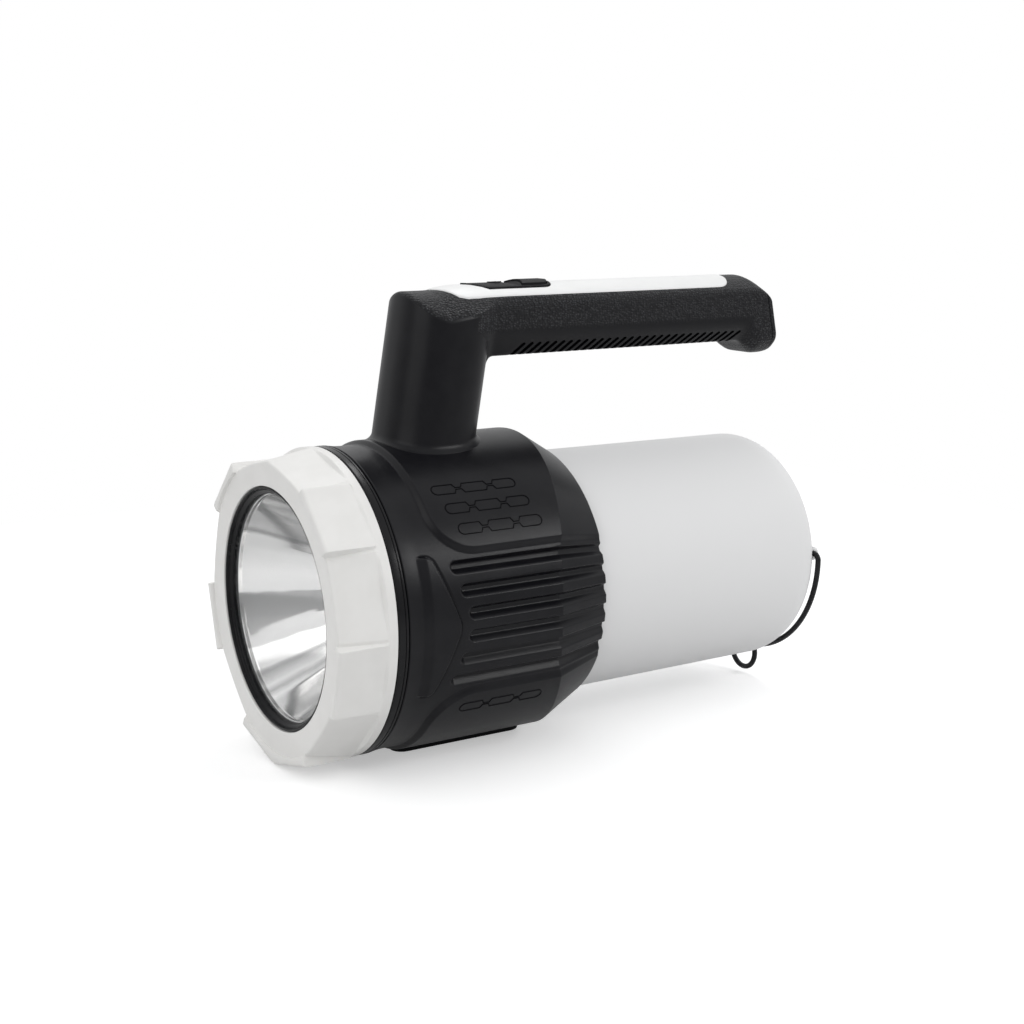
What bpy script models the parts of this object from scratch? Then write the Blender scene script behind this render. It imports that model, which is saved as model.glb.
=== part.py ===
# Hand-held camping light: a spotlight in front, a milky lantern behind, a carrying grip on a leaning post.
# The lamp axis runs along Y. The spotlight looks towards -Y, +Z is up, and the lamp stands on its belly.
# Stations are lengths along the lamp axis behind the front plane of the lens opening.
# Angles round the lamp are counted from the top, and the left half mirrors the right half.
import math

import bmesh
import bpy
from mathutils import Vector
from mathutils.geometry import delaunay_2d_cdt

MM = 0.001

# Clearances that all pieces share
SEAT_GAP = 0.3 * MM
RUN_GAP = 0.35 * MM
OVERRUN = 1.0 * MM
TINY_SHARE = 0.01

# Sizes that lead the others
HOUSING_R = 58.0 * MM
HANDLE_HEIGHT = 117.0 * MM
LAMP_LENGTH = 230.0 * MM
GRIP_HALF_WIDTH = 15.2 * MM
MOULDED_WALL = 2.6 * MM

# Spotlight bezel
BEZEL_FRONT_LEAD = 2.3 * MM
BEZEL_LENGTH = 21.6 * MM
BEZEL_BAND_R = HOUSING_R + 0.9 * MM
BEZEL_FLAT_SINK = 5.0 * MM
BEZEL_FLAT_REAR_SINK = 1.7 * MM
BEZEL_WALL = 8.9 * MM
BEZEL_BORE_R = BEZEL_BAND_R - BEZEL_WALL
BEZEL_LIP = 2.0 * MM
BEZEL_LIP_DEPTH = 4.0 * MM
LENS_OPENING_R = BEZEL_BORE_R - BEZEL_LIP_DEPTH
BEZEL_RIDGE = 17.0 * MM
BEZEL_RIDGE_RUN = 1.6 * MM
BEZEL_SIDES = 12
LUG_SINK = 0.7 * MM
LUG_FLAT_R = BEZEL_BAND_R - LUG_SINK
LUG_FRONT = 0.6 * MM
LUG_FRONT_SLOPE = 2.4 * MM
LUG_SIDE_SLOPE = 1.4 * MM
LUG_SIDES = (1, 3, 5)

# Collar between bezel and housing
COLLAR_LENGTH = 4.1 * MM

# Housing
HOUSING_FLARE = 0.8 * MM
HOUSING_FLARE_RUN = 8.0 * MM
HOUSING_WALL = 5.0 * MM
HOUSING_REAR_WALL = 2.3 * MM
NECK_LENGTH = 18.0 * MM
NECK_WALL = 3.2 * MM
TAPER_RUN = 24.1 * MM
SADDLE_TAPER_RUN = 11.6 * MM
SADDLE_RISE = 1.6 * MM
SADDLE_REAR_RISE = 0.6 * MM
SADDLE_BEVEL = 2.4 * MM
SADDLE_SET_BACK = 13.0 * MM
SADDLE_CORNER_R = 18.0 * MM
SADDLE_HALF_ANGLE = math.radians(65.0)
GROOVE_COUNT = 6
GROOVE_PITCH = math.radians(8.5)
GROOVE_HALF_WIDTH = 2.4 * MM
GROOVE_FLOOR_HALF_WIDTH = 0.6 * MM
GROOVE_DEPTH = 2.6 * MM
GROOVE_REAR_DEPTH = 1.2 * MM
GROOVE_SET_BACK = 28.4 * MM
GROOVE_STAGGER = 2.8 * MM
ARROW_FRONT = 5.7 * MM
ARROW_SHOULDER = 11.8 * MM
ARROW_TIP = 21.8 * MM
ARROW_HALF_ANGLE = math.radians(26.0)
ARROW_RISE = 1.2 * MM
ARROW_FRONT_SLOPE = 4.2 * MM
ARROW_REAR_SLOPE = 0.9 * MM
SHELF_THICKNESS = 2.9 * MM
SHELF_LEDGE = 5.3 * MM
SHELF_SET_IN = 18.2 * MM

# Post and head of the handle
POST_SHOULDER = 3.7 * MM
POST_HALF_WIDTH = GRIP_HALF_WIDTH + POST_SHOULDER
POST_HALF_DEPTH = 18.9 * MM
POST_SQUARENESS = 2.5
POST_LEAN = 0.168
POST_SET_BACK = 43.5 * MM
POST_WALL = 3.0 * MM
POST_FLARE = 1.8 * MM
POST_POINTS = 32
ROOF_SINK = 1.8 * MM
ROOF_DROP = 11.0 * MM
ROOF_FRONT_DROP = 3.0 * MM

# Grip, with its levels counted down from the top of the handle
GRIP_DEPTH = 27.3 * MM
GRIP_CHAMFER_HEIGHT = 8.7 * MM
GRIP_CHAMFER_REAR_HEIGHT = 6.7 * MM
GRIP_CHAMFER_WIDTH = 5.6 * MM
GRIP_SHOULDER_DROP = 8.6 * MM
GRIP_SHOULDER_REAR_DROP = 4.8 * MM
GRIP_OVERHANG = 1.7 * MM
GRIP_END_LEAN = 0.2
GRIP_END_ROUND = 11.0 * MM
NUB_DROP = 5.4 * MM
NUB_LENGTH = 23.3 * MM
NUB_RUN = 11.0 * MM
SLOT_COUNT = 30
SLOT_SET_BACK = 10.5 * MM
SLOT_PITCH = 3.72 * MM
SLOT_WIDTH = 1.5 * MM
SLOT_DEPTH = 1.3 * MM
SLOT_SLANT = math.radians(48.0)
SLOT_END_SHARES = (0.08, 0.82)

# White top strip and its switches
STRIP_EDGE = 2.6 * MM
STRIP_REACH = 2.2 * MM
STRIP_HALF_WIDTH = GRIP_HALF_WIDTH - STRIP_EDGE
STRIP_REAR_GAP = 19.0 * MM
STRIP_CROWN_DROP = 4.1 * MM
STRIP_THICKNESS = 2.2 * MM
STRIP_TIP_DIP = 1.5 * MM
STRIP_TIP_RUN = 10.9 * MM
PAD_SET_BACK = 13.8 * MM
PAD_POINT = 8.3 * MM
PAD_LENGTH = 38.2 * MM
PAD_EDGE = 4.6 * MM
PAD_HALF_WIDTH = STRIP_HALF_WIDTH - PAD_EDGE
PAD_LIFT = 0.5 * MM
PAD_SINK = 2.0 * MM
PAD_BORDER = 1.3 * MM
PAD_REAR_LENGTH = 15.0 * MM
BUTTON_LIFT = 0.3 * MM
MODE_LIFT = 1.2 * MM
BUTTON_TRAVEL = 0.6 * MM
BUTTON_FLANGE = 0.9 * MM
STEM_R = 2.6 * MM
SWITCH_WELL_DEPTH = 11.7 * MM
SWITCH_SIDE = 6.0 * MM
SWITCH_HEIGHT = 2.4 * MM
SWITCH_FLOOR = 0.4 * MM
PLUNGER_R = 1.3 * MM

# Optics
GASKET_LIP = 3.2 * MM
GASKET_FLANGE = 1.3 * MM
GASKET_SHOWN = 1.6 * MM
LENS_THICKNESS = 2.2 * MM
LENS_DOME = 0.9 * MM
LENS_SEAT = 1.6 * MM
REFLECTOR_DEPTH = 39.0 * MM
REFLECTOR_RIM = 7.3 * MM
REFLECTOR_THROAT_R = 8.0 * MM
REFLECTOR_WALL = 1.2 * MM
REFLECTOR_PANELS = 8
HEAT_SINK_WALL = 1.6 * MM
HEAT_SINK_BASE = 3.0 * MM
HEAT_SINK_SKIRT = 32.0 * MM
FIN_COUNT = 9
FIN_THICKNESS = 1.6 * MM
FIN_HEIGHT = 8.0 * MM
LED_BOARD_R = 16.0 * MM
BOARD_THICKNESS = 1.6 * MM
CHIP_SIDE = 7.0 * MM
CHIP_HEIGHT = 1.2 * MM
CHIP_DOME_R = 2.6 * MM

# Battery and driver
CELL_R = 9.2 * MM
CELL_END_ROOM = 20.5 * MM
CELL_COUNT = 3
CELL_GAP = 0.8 * MM
CELL_TIP_R = 3.0 * MM
CELL_TIP_HEIGHT = 1.2 * MM
HOLDER_PLATE = 2.6 * MM
HOLDER_WALL = 2.0 * MM
DRIVER_HALF_HEIGHT = 24.0 * MM
DRIVER_PART_SHARES = ((-0.5, 0.3, 0.14, 0.25), (0.1, 0.4, 0.1, 0.12), (0.45, -0.3, 0.16, 0.3))
DRIVER_ROOM = 11.4 * MM
HOLDER_WALL_SHARE = 0.8
LEAD_R = 1.1 * MM
LEAD_POINTS = 7

# Lantern
LANTERN_BASE_THICKNESS = 2.5 * MM
DIFFUSER_SINK = 9.05 * MM
DIFFUSER_DRAFT = 0.9 * MM
DIFFUSER_ROUND_LENGTH = 14.3 * MM
DIFFUSER_ROUND_R = 14.7 * MM
DIFFUSER_WALL = 2.0 * MM
LANTERN_BOARD_MARGIN = 11.0 * MM
LANTERN_LED_COUNT = 16
LANTERN_LED_MARGIN = 8.0 * MM
LANTERN_LED_SIDE = 3.0 * MM
LANTERN_LED_HEIGHT = 1.0 * MM
SCREW_COUNT = 3
SCREW_R = 1.1 * MM
SCREW_HEAD_R = 2.0 * MM
SCREW_HEAD = 1.2 * MM
SCREW_LENGTH = 5.0 * MM

# Hanging bail
WIRE_R = 1.15 * MM
BAIL_SINK = 1.85 * MM
BAIL_INSET = 3.0 * MM
BAIL_PIVOT_HEIGHT = 2.3 * MM
BAIL_ELBOW_R = 2.6 * MM
BAIL_DIP_R = 7.6 * MM
BAIL_DIP_REACH = 3.7 * MM
BAIL_NECK_R = 3.0 * MM
BOSS_R = 2.8 * MM
BOSS_LENGTH = 7.2 * MM
BOSS_END_WALL = 1.3 * MM

# Port at the rear of the grip
COVER_THICKNESS = 1.7 * MM
COVER_EDGE = 7.7 * MM
COVER_LENGTH = 18.7 * MM
HINGE_DROP = 2.9 * MM
BARREL_R = 1.9 * MM
COVER_PIN_R = 0.9 * MM
PIN_OVERHANG = 1.7 * MM
SOCKET_HALF_WIDTH = 4.5 * MM
SOCKET_HALF_HEIGHT = 1.6 * MM
SOCKET_DEPTH = 7.0 * MM
SOCKET_WALL = 0.35 * MM
SOCKET_RISE = 10.2 * MM
CHARGE_BOARD_LENGTH = 21.0 * MM

# Foot
FOOT_SET_BACK = 4.5 * MM
FOOT_LENGTH = 57.0 * MM
FOOT_HALF_WIDTH = 14.0 * MM
FOOT_THICKNESS = 2.6 * MM
FOOT_CORNER_R = 5.0 * MM

# Radii, widths and levels that follow from the sizes above
BEZEL_FLAT_R = BEZEL_BAND_R - BEZEL_FLAT_SINK
BEZEL_FLAT_REAR_R = BEZEL_BAND_R - BEZEL_FLAT_REAR_SINK
NECK_R = BEZEL_BORE_R - SEAT_GAP
NECK_BORE_R = NECK_R - NECK_WALL
CAVITY_R = HOUSING_R - HOUSING_WALL
GASKET_BORE_R = LENS_OPENING_R - GASKET_LIP
REFLECTOR_MOUTH_R = NECK_R - REFLECTOR_RIM
DIFFUSER_FRONT_R = HOUSING_R - DIFFUSER_SINK
DIFFUSER_REAR_R = DIFFUSER_FRONT_R - DIFFUSER_DRAFT
REAR_BORE_R = DIFFUSER_FRONT_R + RUN_GAP
HOUSING_REAR_R = REAR_BORE_R + HOUSING_REAR_WALL
SHELF_BORE_R = REAR_BORE_R - SHELF_LEDGE
REST_HEIGHT = LUG_FLAT_R / math.cos(math.pi / BEZEL_SIDES)
CELL_LENGTH = 2 * (CAVITY_R - CELL_END_ROOM)
BAIL_R = DIFFUSER_REAR_R - BAIL_SINK
BAIL_DIP_DROP = BAIL_R + BAIL_DIP_REACH
BOSS_OUTER_X = BAIL_R - BAIL_ELBOW_R
BOSS_INNER_X = BOSS_OUTER_X - BOSS_LENGTH
BAIL_STUB_REACH = BOSS_INNER_X + BOSS_END_WALL + SEAT_GAP
ROOF_HEIGHT = HANDLE_HEIGHT - ROOF_SINK
GRIP_BOTTOM = HANDLE_HEIGHT - GRIP_DEPTH
GRIP_BOTTOM_HALF_WIDTH = GRIP_HALF_WIDTH - GRIP_CHAMFER_WIDTH
SWITCH_LEDGE = HANDLE_HEIGHT - SWITCH_WELL_DEPTH
COVER_HALF_WIDTH = GRIP_HALF_WIDTH - COVER_EDGE
PIN_HALF_LENGTH = COVER_HALF_WIDTH + PIN_OVERHANG
HINGE_HEIGHT = GRIP_BOTTOM - HINGE_DROP
COVER_TOP = HINGE_HEIGHT + COVER_LENGTH
SOCKET_HEIGHT = HINGE_HEIGHT + SOCKET_RISE

# Stations that follow from the sizes above
COLLAR_STATION = BEZEL_LENGTH + SEAT_GAP
HOUSING_STATION = COLLAR_STATION + COLLAR_LENGTH + SEAT_GAP
LENS_STATION = BEZEL_LIP + GASKET_FLANGE + 2 * SEAT_GAP
REFLECTOR_STATION = LENS_STATION + LENS_THICKNESS + SEAT_GAP
SPOT_BOARD_STATION = REFLECTOR_STATION + REFLECTOR_DEPTH + SEAT_GAP
SINK_STATION = SPOT_BOARD_STATION + BOARD_THICKNESS + SEAT_GAP
FIN_END = SINK_STATION + HEAT_SINK_BASE + FIN_HEIGHT
DRIVER_STATION = FIN_END + DRIVER_ROOM
CELL_STATION = DRIVER_STATION + BOARD_THICKNESS + CELL_GAP + CELL_R
HOLDER_STATION = CELL_STATION + CELL_R + SEAT_GAP
SHELF_FRONT = HOLDER_STATION + HOLDER_PLATE + SEAT_GAP
SHELF_REAR = SHELF_FRONT + SHELF_THICKNESS
HOUSING_END = SHELF_REAR + SHELF_SET_IN
NECK_STATION = HOUSING_STATION - NECK_LENGTH
POST_STATION = HOUSING_STATION + POST_SET_BACK
DIFFUSER_END = LAMP_LENGTH
BAIL_STATION = DIFFUSER_END - BAIL_INSET
GRIP_END = DIFFUSER_END - GRIP_OVERHANG
NUB_START = GRIP_END - NUB_LENGTH
STRIP_TIP = POST_STATION - STRIP_REACH
STRIP_SHOULDER = STRIP_TIP + STRIP_TIP_RUN
STRIP_END = GRIP_END - STRIP_REAR_GAP
PAD_TIP = STRIP_TIP + PAD_SET_BACK
PAD_CORNER = PAD_TIP + PAD_POINT
PAD_END = PAD_TIP + PAD_LENGTH
PAD_SPLIT = PAD_END - PAD_REAR_LENGTH
SLOT_FIRST = POST_STATION + POST_HALF_DEPTH + SLOT_SET_BACK
FOOT_FRONT = HOUSING_STATION + SADDLE_SET_BACK + FOOT_SET_BACK
FOOT_REAR = FOOT_FRONT + FOOT_LENGTH
ORIGIN_STATION = (DIFFUSER_END - BEZEL_FRONT_LEAD) / 2


def place(x, station, z):
    """Lamp coordinates to the part's own frame: floor at zero, origin in the middle of the length."""
    return Vector((x, station - ORIGIN_STATION, z + REST_HEIGHT))


def around(angle, station, radius):
    """A point at an angle round the lamp axis, counted from the top."""
    return place(radius * math.sin(angle), station, radius * math.cos(angle))


def mix(a, b, share):
    return a + (b - a) * share


def ramp(value, run):
    """0 at zero, 1 at run, straight between."""
    return min(max(value / run, 0.0), 1.0)


def spread(start, end, count):
    """Evenly spaced values, both ends included."""
    return [mix(start, end, i / (count - 1)) for i in range(count)]


def material(name, color, roughness, metallic=0.0, alpha=1.0):
    found = bpy.data.materials.get(name)
    if found:
        return found
    made = bpy.data.materials.new(name)
    made.use_nodes = True
    shader = made.node_tree.nodes["Principled BSDF"]
    shader.inputs["Base Color"].default_value = (*color, 1.0)
    shader.inputs["Roughness"].default_value = roughness
    shader.inputs["Metallic"].default_value = metallic
    shader.inputs["Alpha"].default_value = alpha
    return made


FINISHES = {
    "white": ((0.84, 0.84, 0.82), 0.42, 0.0, 1.0),
    "black": ((0.035, 0.034, 0.037), 0.45, 0.0, 1.0),
    "rubber": ((0.03, 0.03, 0.033), 0.75, 0.0, 1.0),
    "clear": ((0.95, 0.97, 0.98), 0.05, 0.0, 0.35),
    "milky": ((0.86, 0.87, 0.87), 0.35, 0.0, 1.0),
    "chrome": ((0.9, 0.9, 0.91), 0.08, 1.0, 1.0),
    "aluminium": ((0.72, 0.73, 0.75), 0.35, 1.0, 1.0),
    "board": ((0.05, 0.25, 0.12), 0.5, 0.0, 1.0),
    "board_white": ((0.85, 0.85, 0.83), 0.5, 0.0, 1.0),
    "phosphor": ((0.9, 0.78, 0.25), 0.3, 0.0, 1.0),
    "cell": ((0.1, 0.22, 0.5), 0.4, 0.0, 1.0),
    "steel": ((0.55, 0.56, 0.58), 0.3, 1.0, 1.0),
    "wire": ((0.02, 0.02, 0.022), 0.35, 0.0, 1.0),
}


def make(name, bm, finish):
    """Turns a bmesh into a named object with its own material."""
    bmesh.ops.remove_doubles(bm, verts=bm.verts, dist=TINY_SHARE * MM)
    bmesh.ops.recalc_face_normals(bm, faces=bm.faces)
    mesh = bpy.data.meshes.new(name)
    bm.to_mesh(mesh)
    bm.free()
    mesh.shade_smooth()
    mesh.set_sharp_from_angle(angle=math.radians(32.0))
    obj = bpy.data.objects.new(name, mesh)
    bpy.context.collection.objects.link(obj)
    mesh.materials.append(material(name + "_" + finish, *FINISHES[finish]))
    return obj


def apply_boolean(target, tool, operation):
    """Runs one exact Boolean on target and removes the tool."""
    modifier = target.modifiers.new(operation.lower(), "BOOLEAN")
    modifier.operation = operation
    modifier.object = tool
    graph = bpy.context.evaluated_depsgraph_get()
    result = bpy.data.meshes.new_from_object(target.evaluated_get(graph))
    target.modifiers.clear()
    old = target.data
    target.data = result
    result.name = target.name
    bpy.data.meshes.remove(old)
    bpy.data.objects.remove(tool)


def cut(target, *tools):
    for tool in tools:
        apply_boolean(target, tool, "DIFFERENCE")


def join(target, *tools):
    for tool in tools:
        apply_boolean(target, tool, "UNION")


def set_origin(obj, point):
    """Moves the object's origin to a point without moving its surface."""
    offset = Vector(point)
    for vertex in obj.data.vertices:
        vertex.co -= offset
    obj.location = offset


def bridge(bm, rings, closed):
    """Quads between rings of equal length; the last ring joins the first if closed."""
    pairs = list(zip(rings, rings[1:]))
    if closed:
        pairs.append((rings[-1], rings[0]))
    for low, high in pairs:
        for i in range(len(low)):
            j = (i + 1) % len(low)
            corners = [low[i], low[j], high[j], high[i]]
            unique = list(dict.fromkeys(corners))
            if len(unique) > 2:
                bm.faces.new(unique)


def revolve(name, profile, finish, segments=48):
    """Turns a closed outline of (station, radius) points about the lamp axis."""
    bm = bmesh.new()
    angles = [2 * math.pi * i / segments for i in range(segments)]
    rings = []
    for station, radius in profile:
        if radius == 0:
            centre = bm.verts.new(place(0, station, 0))
            rings.append([centre] * segments)
        else:
            rings.append([bm.verts.new(around(a, station, radius)) for a in angles])
    on_axis = profile[0][1] == 0 and profile[-1][1] == 0
    bridge(bm, rings, not on_axis)
    return make(name, bm, finish)


def loft(name, sections, finish):
    """Skin over point loops of equal length, with both ends capped."""
    bm = bmesh.new()
    rings = [[bm.verts.new(p) for p in section] for section in sections]
    bridge(bm, rings, False)
    bm.faces.new(rings[0])
    bm.faces.new(rings[-1])
    return make(name, bm, finish)


def box(name, x_range, station_range, z_range, finish="black"):
    """A block between two corners in lamp coordinates."""
    sections = []
    for station in station_range:
        corners = ((0, 0), (1, 0), (1, 1), (0, 1))
        sections.append([place(x_range[i], station, z_range[j]) for i, j in corners])
    return loft(name, sections, finish)


def rod(name, start, end, radius, finish="black", sides=16):
    """A round bar between two points given in lamp coordinates."""
    a = place(*start)
    b = place(*end)
    along = (b - a).normalized()
    side = along.orthogonal().normalized()
    up = along.cross(side)
    sections = []
    for centre in (a, b):
        turns = [2 * math.pi * i / sides for i in range(sides)]
        sections.append([centre + (side * math.cos(t) + up * math.sin(t)) * radius for t in turns])
    return loft(name, sections, finish)


def inside(point, outline):
    """Even-odd test of a flat point against a closed outline."""
    x, y = point
    odd = False
    for (x1, y1), (x2, y2) in zip(outline, outline[1:] + outline[:1]):
        if (y1 > y) != (y2 > y) and x < (x2 - x1) * (y - y1) / (y2 - y1) + x1:
            odd = not odd
    return odd


def distance_to_line(point, line):
    """Shortest flat distance from a point to a polyline."""
    best = math.inf
    p = Vector(point)
    for a, b in zip(line, line[1:]):
        a = Vector(a)
        run = Vector(b) - a
        share = ramp((p - a).dot(run), run.length_squared) if run.length_squared > 0 else 0
        best = min(best, (p - a - run * share).length)
    return best


def triangulate(lines, points, clear):
    """Flat triangles over free points, with every line kept as an edge."""
    free = [p for p in points if all(distance_to_line(p, line) > clear for line in lines)]
    verts = [Vector(p) / MM for p in free]
    edges = []
    for line in lines:
        first = len(verts)
        verts.extend(Vector(p) / MM for p in line)
        edges.extend((first + i, first + i + 1) for i in range(len(line) - 1))
    result = delaunay_2d_cdt(verts, edges, [], 0, TINY_SHARE)
    flat = [(v.x * MM, v.y * MM) for v in result[0]]
    return flat, result[2]


def wrapped_shell(name, finish, ends, angles, stations, lines, radius_at, inner, wrap_r):
    """A ring whose outer skin carries relief: one half is drawn flat as angle and station, its outlines kept
    as edges, then wrapped round the axis, mirrored, and closed by an inner profile of (station, radius)."""
    front, rear = ends
    half_turn = math.pi * wrap_r
    flat_angles = [a * wrap_r for a in angles]
    border = [[(u, front) for u in flat_angles], [(u, rear) for u in flat_angles]]
    marks = sorted({front, rear, *stations, *(p[1] for line in lines for p in line if p[0] in (0.0, half_turn))})
    border += [[(u, s) for s in marks] for u in (0.0, half_turn)]
    grid = [(u, s) for u in flat_angles[1:-1] for s in stations]
    flat, faces = triangulate(border + lines, grid, wrap_r * TINY_SHARE * 2)
    bm = bmesh.new()
    for side in (1, -1):
        verts = []
        for u, s in flat:
            angle = u / wrap_r
            verts.append(bm.verts.new(around(side * angle, s, radius_at(angle, s))))
        for face in faces:
            bm.faces.new([verts[i] for i in face])
    full = angles + [-a for a in reversed(angles[1:-1])]
    profile = [(front, None), *inner, (rear, None)]
    rings = []
    for station, radius in profile:
        rings.append([bm.verts.new(around(a, station, radius or radius_at(abs(a), station))) for a in full])
    bridge(bm, rings, False)
    return make(name, bm, finish)


def bezel_facet_radius(angle, flat_r):
    """Radius of a flat-sided ring with corners at whole multiples of one side."""
    side = 2 * math.pi / BEZEL_SIDES
    return flat_r / math.cos(angle % side - side / 2)


def bezel_radius(angle, station):
    """Outer skin of the bezel: flats that grow rearwards, raised lugs, and a round band behind a ridge."""
    side = 2 * math.pi / BEZEL_SIDES
    share = ramp(station + BEZEL_FRONT_LEAD, BEZEL_RIDGE + BEZEL_FRONT_LEAD)
    radius = bezel_facet_radius(angle, mix(BEZEL_FLAT_R, BEZEL_FLAT_REAR_R, share))
    index = min(int(angle / side), BEZEL_SIDES // 2 - 1)
    if index in LUG_SIDES:
        low = (angle - index * side) * BEZEL_BAND_R
        high = ((index + 1) * side - angle) * BEZEL_BAND_R
        if index == BEZEL_SIDES // 2 - 1:
            high = low + LUG_SIDE_SLOPE
        rise = ramp(station - LUG_FRONT, LUG_FRONT_SLOPE) * ramp(min(low, high), LUG_SIDE_SLOPE)
        radius = mix(radius, bezel_facet_radius(angle, LUG_FLAT_R), rise)
    return mix(radius, BEZEL_BAND_R, ramp(station - BEZEL_RIDGE, BEZEL_RIDGE_RUN))


def front_bezel():
    side = 2 * math.pi / BEZEL_SIDES
    inset = LUG_SIDE_SLOPE / BEZEL_BAND_R
    angles = set(spread(0, math.pi, BEZEL_SIDES * 3 // 2 * 2 + 1))
    lines = []
    ridge = BEZEL_RIDGE + BEZEL_RIDGE_RUN
    for i in range(BEZEL_SIDES // 2 + 1):
        lines.append([(i * side * BEZEL_BAND_R, s) for s in (-BEZEL_FRONT_LEAD, BEZEL_RIDGE)])
    for index in LUG_SIDES:
        low = index * side
        high = low + side
        edges = [low + inset] if index == BEZEL_SIDES // 2 - 1 else [low + inset, high - inset]
        angles.update(edges)
        lines += [[(a * BEZEL_BAND_R, s) for s in (LUG_FRONT, BEZEL_RIDGE)] for a in edges]
        for station in (LUG_FRONT, LUG_FRONT + LUG_FRONT_SLOPE):
            lines.append([(a * BEZEL_BAND_R, station) for a in (low, *edges, high)])
    angles = sorted(angles)
    lines += [[(a * BEZEL_BAND_R, s) for a in angles] for s in (BEZEL_RIDGE, ridge)]
    inner = [(0, LENS_OPENING_R), (BEZEL_LIP, LENS_OPENING_R), (BEZEL_LIP, BEZEL_BORE_R),
             (BEZEL_LENGTH, BEZEL_BORE_R)]
    ends = (-BEZEL_FRONT_LEAD, BEZEL_LENGTH)
    return wrapped_shell("front_bezel", "white", ends, angles, [BEZEL_RIDGE / 2], lines,
                         bezel_radius, inner, BEZEL_BAND_R)


def collar_ring():
    outer = HOUSING_R + HOUSING_FLARE
    rear = COLLAR_STATION + COLLAR_LENGTH
    bore = NECK_R + SEAT_GAP
    profile = [(COLLAR_STATION, bore), (rear, bore), (rear, outer), (COLLAR_STATION, BEZEL_BAND_R)]
    return revolve("collar_ring", profile, "black", 96)


def taper_start(angle):
    """Where the housing begins to narrow: later at the top and the belly than at the sides."""
    run = mix(TAPER_RUN, SADDLE_TAPER_RUN, math.cos(angle) ** 2)
    return HOUSING_END - run


def saddle_depth(angle, station):
    """How far a point lies inside the outline of the upper or lower saddle."""
    turned = min(angle, math.pi - angle)
    across = turned * HOUSING_R - (SADDLE_HALF_ANGLE * HOUSING_R - SADDLE_CORNER_R)
    back = HOUSING_STATION + SADDLE_SET_BACK + SADDLE_CORNER_R - station
    outside = math.hypot(max(across, 0), max(back, 0))
    return SADDLE_CORNER_R - outside - min(max(across, back), 0)


def groove_angle(index):
    return math.pi / 2 + (index - (GROOVE_COUNT - 1) / 2) * GROOVE_PITCH


def groove_start(index):
    """Centre of a groove's round front end; the ends follow the arrow pad."""
    offset = abs(index - (GROOVE_COUNT - 1) / 2)
    return HOUSING_STATION + GROOVE_SET_BACK - GROOVE_STAGGER * offset


def groove_share(angle, station):
    """1 on a groove's floor, 0 outside it, straight on its walls."""
    best = 0.0
    for index in range(GROOVE_COUNT):
        across = (angle - groove_angle(index)) * HOUSING_R
        ahead = max(groove_start(index) - station, 0)
        reach = GROOVE_HALF_WIDTH - math.hypot(across, ahead)
        best = max(best, ramp(reach, GROOVE_HALF_WIDTH - GROOVE_FLOOR_HALF_WIDTH))
    return best


def arrow_edges(inset):
    """Edges of the arrow-shaped pad as (point, inward normal, slope width), moved in by a share of the slope."""
    half = ARROW_HALF_ANGLE * HOUSING_R
    middle = math.pi / 2 * HOUSING_R
    corners = [(middle - half, ARROW_FRONT), (middle + half, ARROW_FRONT), (middle + half, ARROW_SHOULDER),
               (middle, ARROW_TIP), (middle - half, ARROW_SHOULDER)]
    corners = [Vector((u, HOUSING_STATION + s)) for u, s in corners]
    edges = []
    for i, (a, b) in enumerate(zip(corners, corners[1:] + corners[:1])):
        run = (b - a).normalized()
        slope = ARROW_FRONT_SLOPE if i == 0 else ARROW_REAR_SLOPE
        normal = Vector((-run.y, run.x))
        edges.append((a + normal * slope * inset, normal, slope))
    return edges


def arrow_outline(inset):
    """Closed outline of the arrow pad at the foot (0) or the top (1) of its slopes."""
    edges = arrow_edges(inset)
    outline = []
    for (p, n, _), (q, m, _) in zip(edges[-1:] + edges[:-1], edges):
        cross = n.x * m.y - n.y * m.x
        a = n.dot(p)
        b = m.dot(q)
        outline.append(((a * m.y - b * n.y) / cross, (b * n.x - a * m.x) / cross))
    return outline + outline[:1]


def arrow_share(angle, station):
    point = Vector((angle * HOUSING_R, station))
    return min(ramp((point - p).dot(n), slope) for p, n, slope in arrow_edges(0))


def housing_radius(angle, station):
    """Outer skin of the housing: flare, saddles, rear taper, arrow pad and cooling grooves."""
    saddle = ramp(saddle_depth(angle, station), SADDLE_BEVEL)
    flare = HOUSING_FLARE * (1 - ramp(station - HOUSING_STATION, HOUSING_FLARE_RUN)) ** 2
    radius = HOUSING_R + flare + SADDLE_RISE * saddle
    start = taper_start(angle)
    taper = ramp(station - start, HOUSING_END - start)
    radius = mix(radius, HOUSING_REAR_R + SADDLE_REAR_RISE * saddle, taper)
    side_taper = ramp(station - (HOUSING_END - TAPER_RUN), TAPER_RUN)
    depth = mix(GROOVE_DEPTH, GROOVE_REAR_DEPTH, side_taper)
    return radius + ARROW_RISE * arrow_share(angle, station) - depth * groove_share(angle, station)


def saddle_lines(inset):
    """The saddles' outlines at one inset: along the side, round the corner and across the front."""
    corner = SADDLE_CORNER_R - inset
    centre_u = SADDLE_HALF_ANGLE * HOUSING_R - SADDLE_CORNER_R
    centre_s = HOUSING_STATION + SADDLE_SET_BACK + SADDLE_CORNER_R
    turns = spread(0, math.pi / 2, 8)
    line = [(centre_u + corner, s) for s in spread(HOUSING_END, centre_s, 5)[:-1]]
    line += [(centre_u + corner * math.cos(t), centre_s - corner * math.sin(t)) for t in turns]
    line += [(u, centre_s - corner) for u in spread(centre_u, 0.0, 5)[1:]]
    half_turn = math.pi * HOUSING_R
    return [line, [(half_turn - u if u > 0 else half_turn, s) for u, s in line]]


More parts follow.
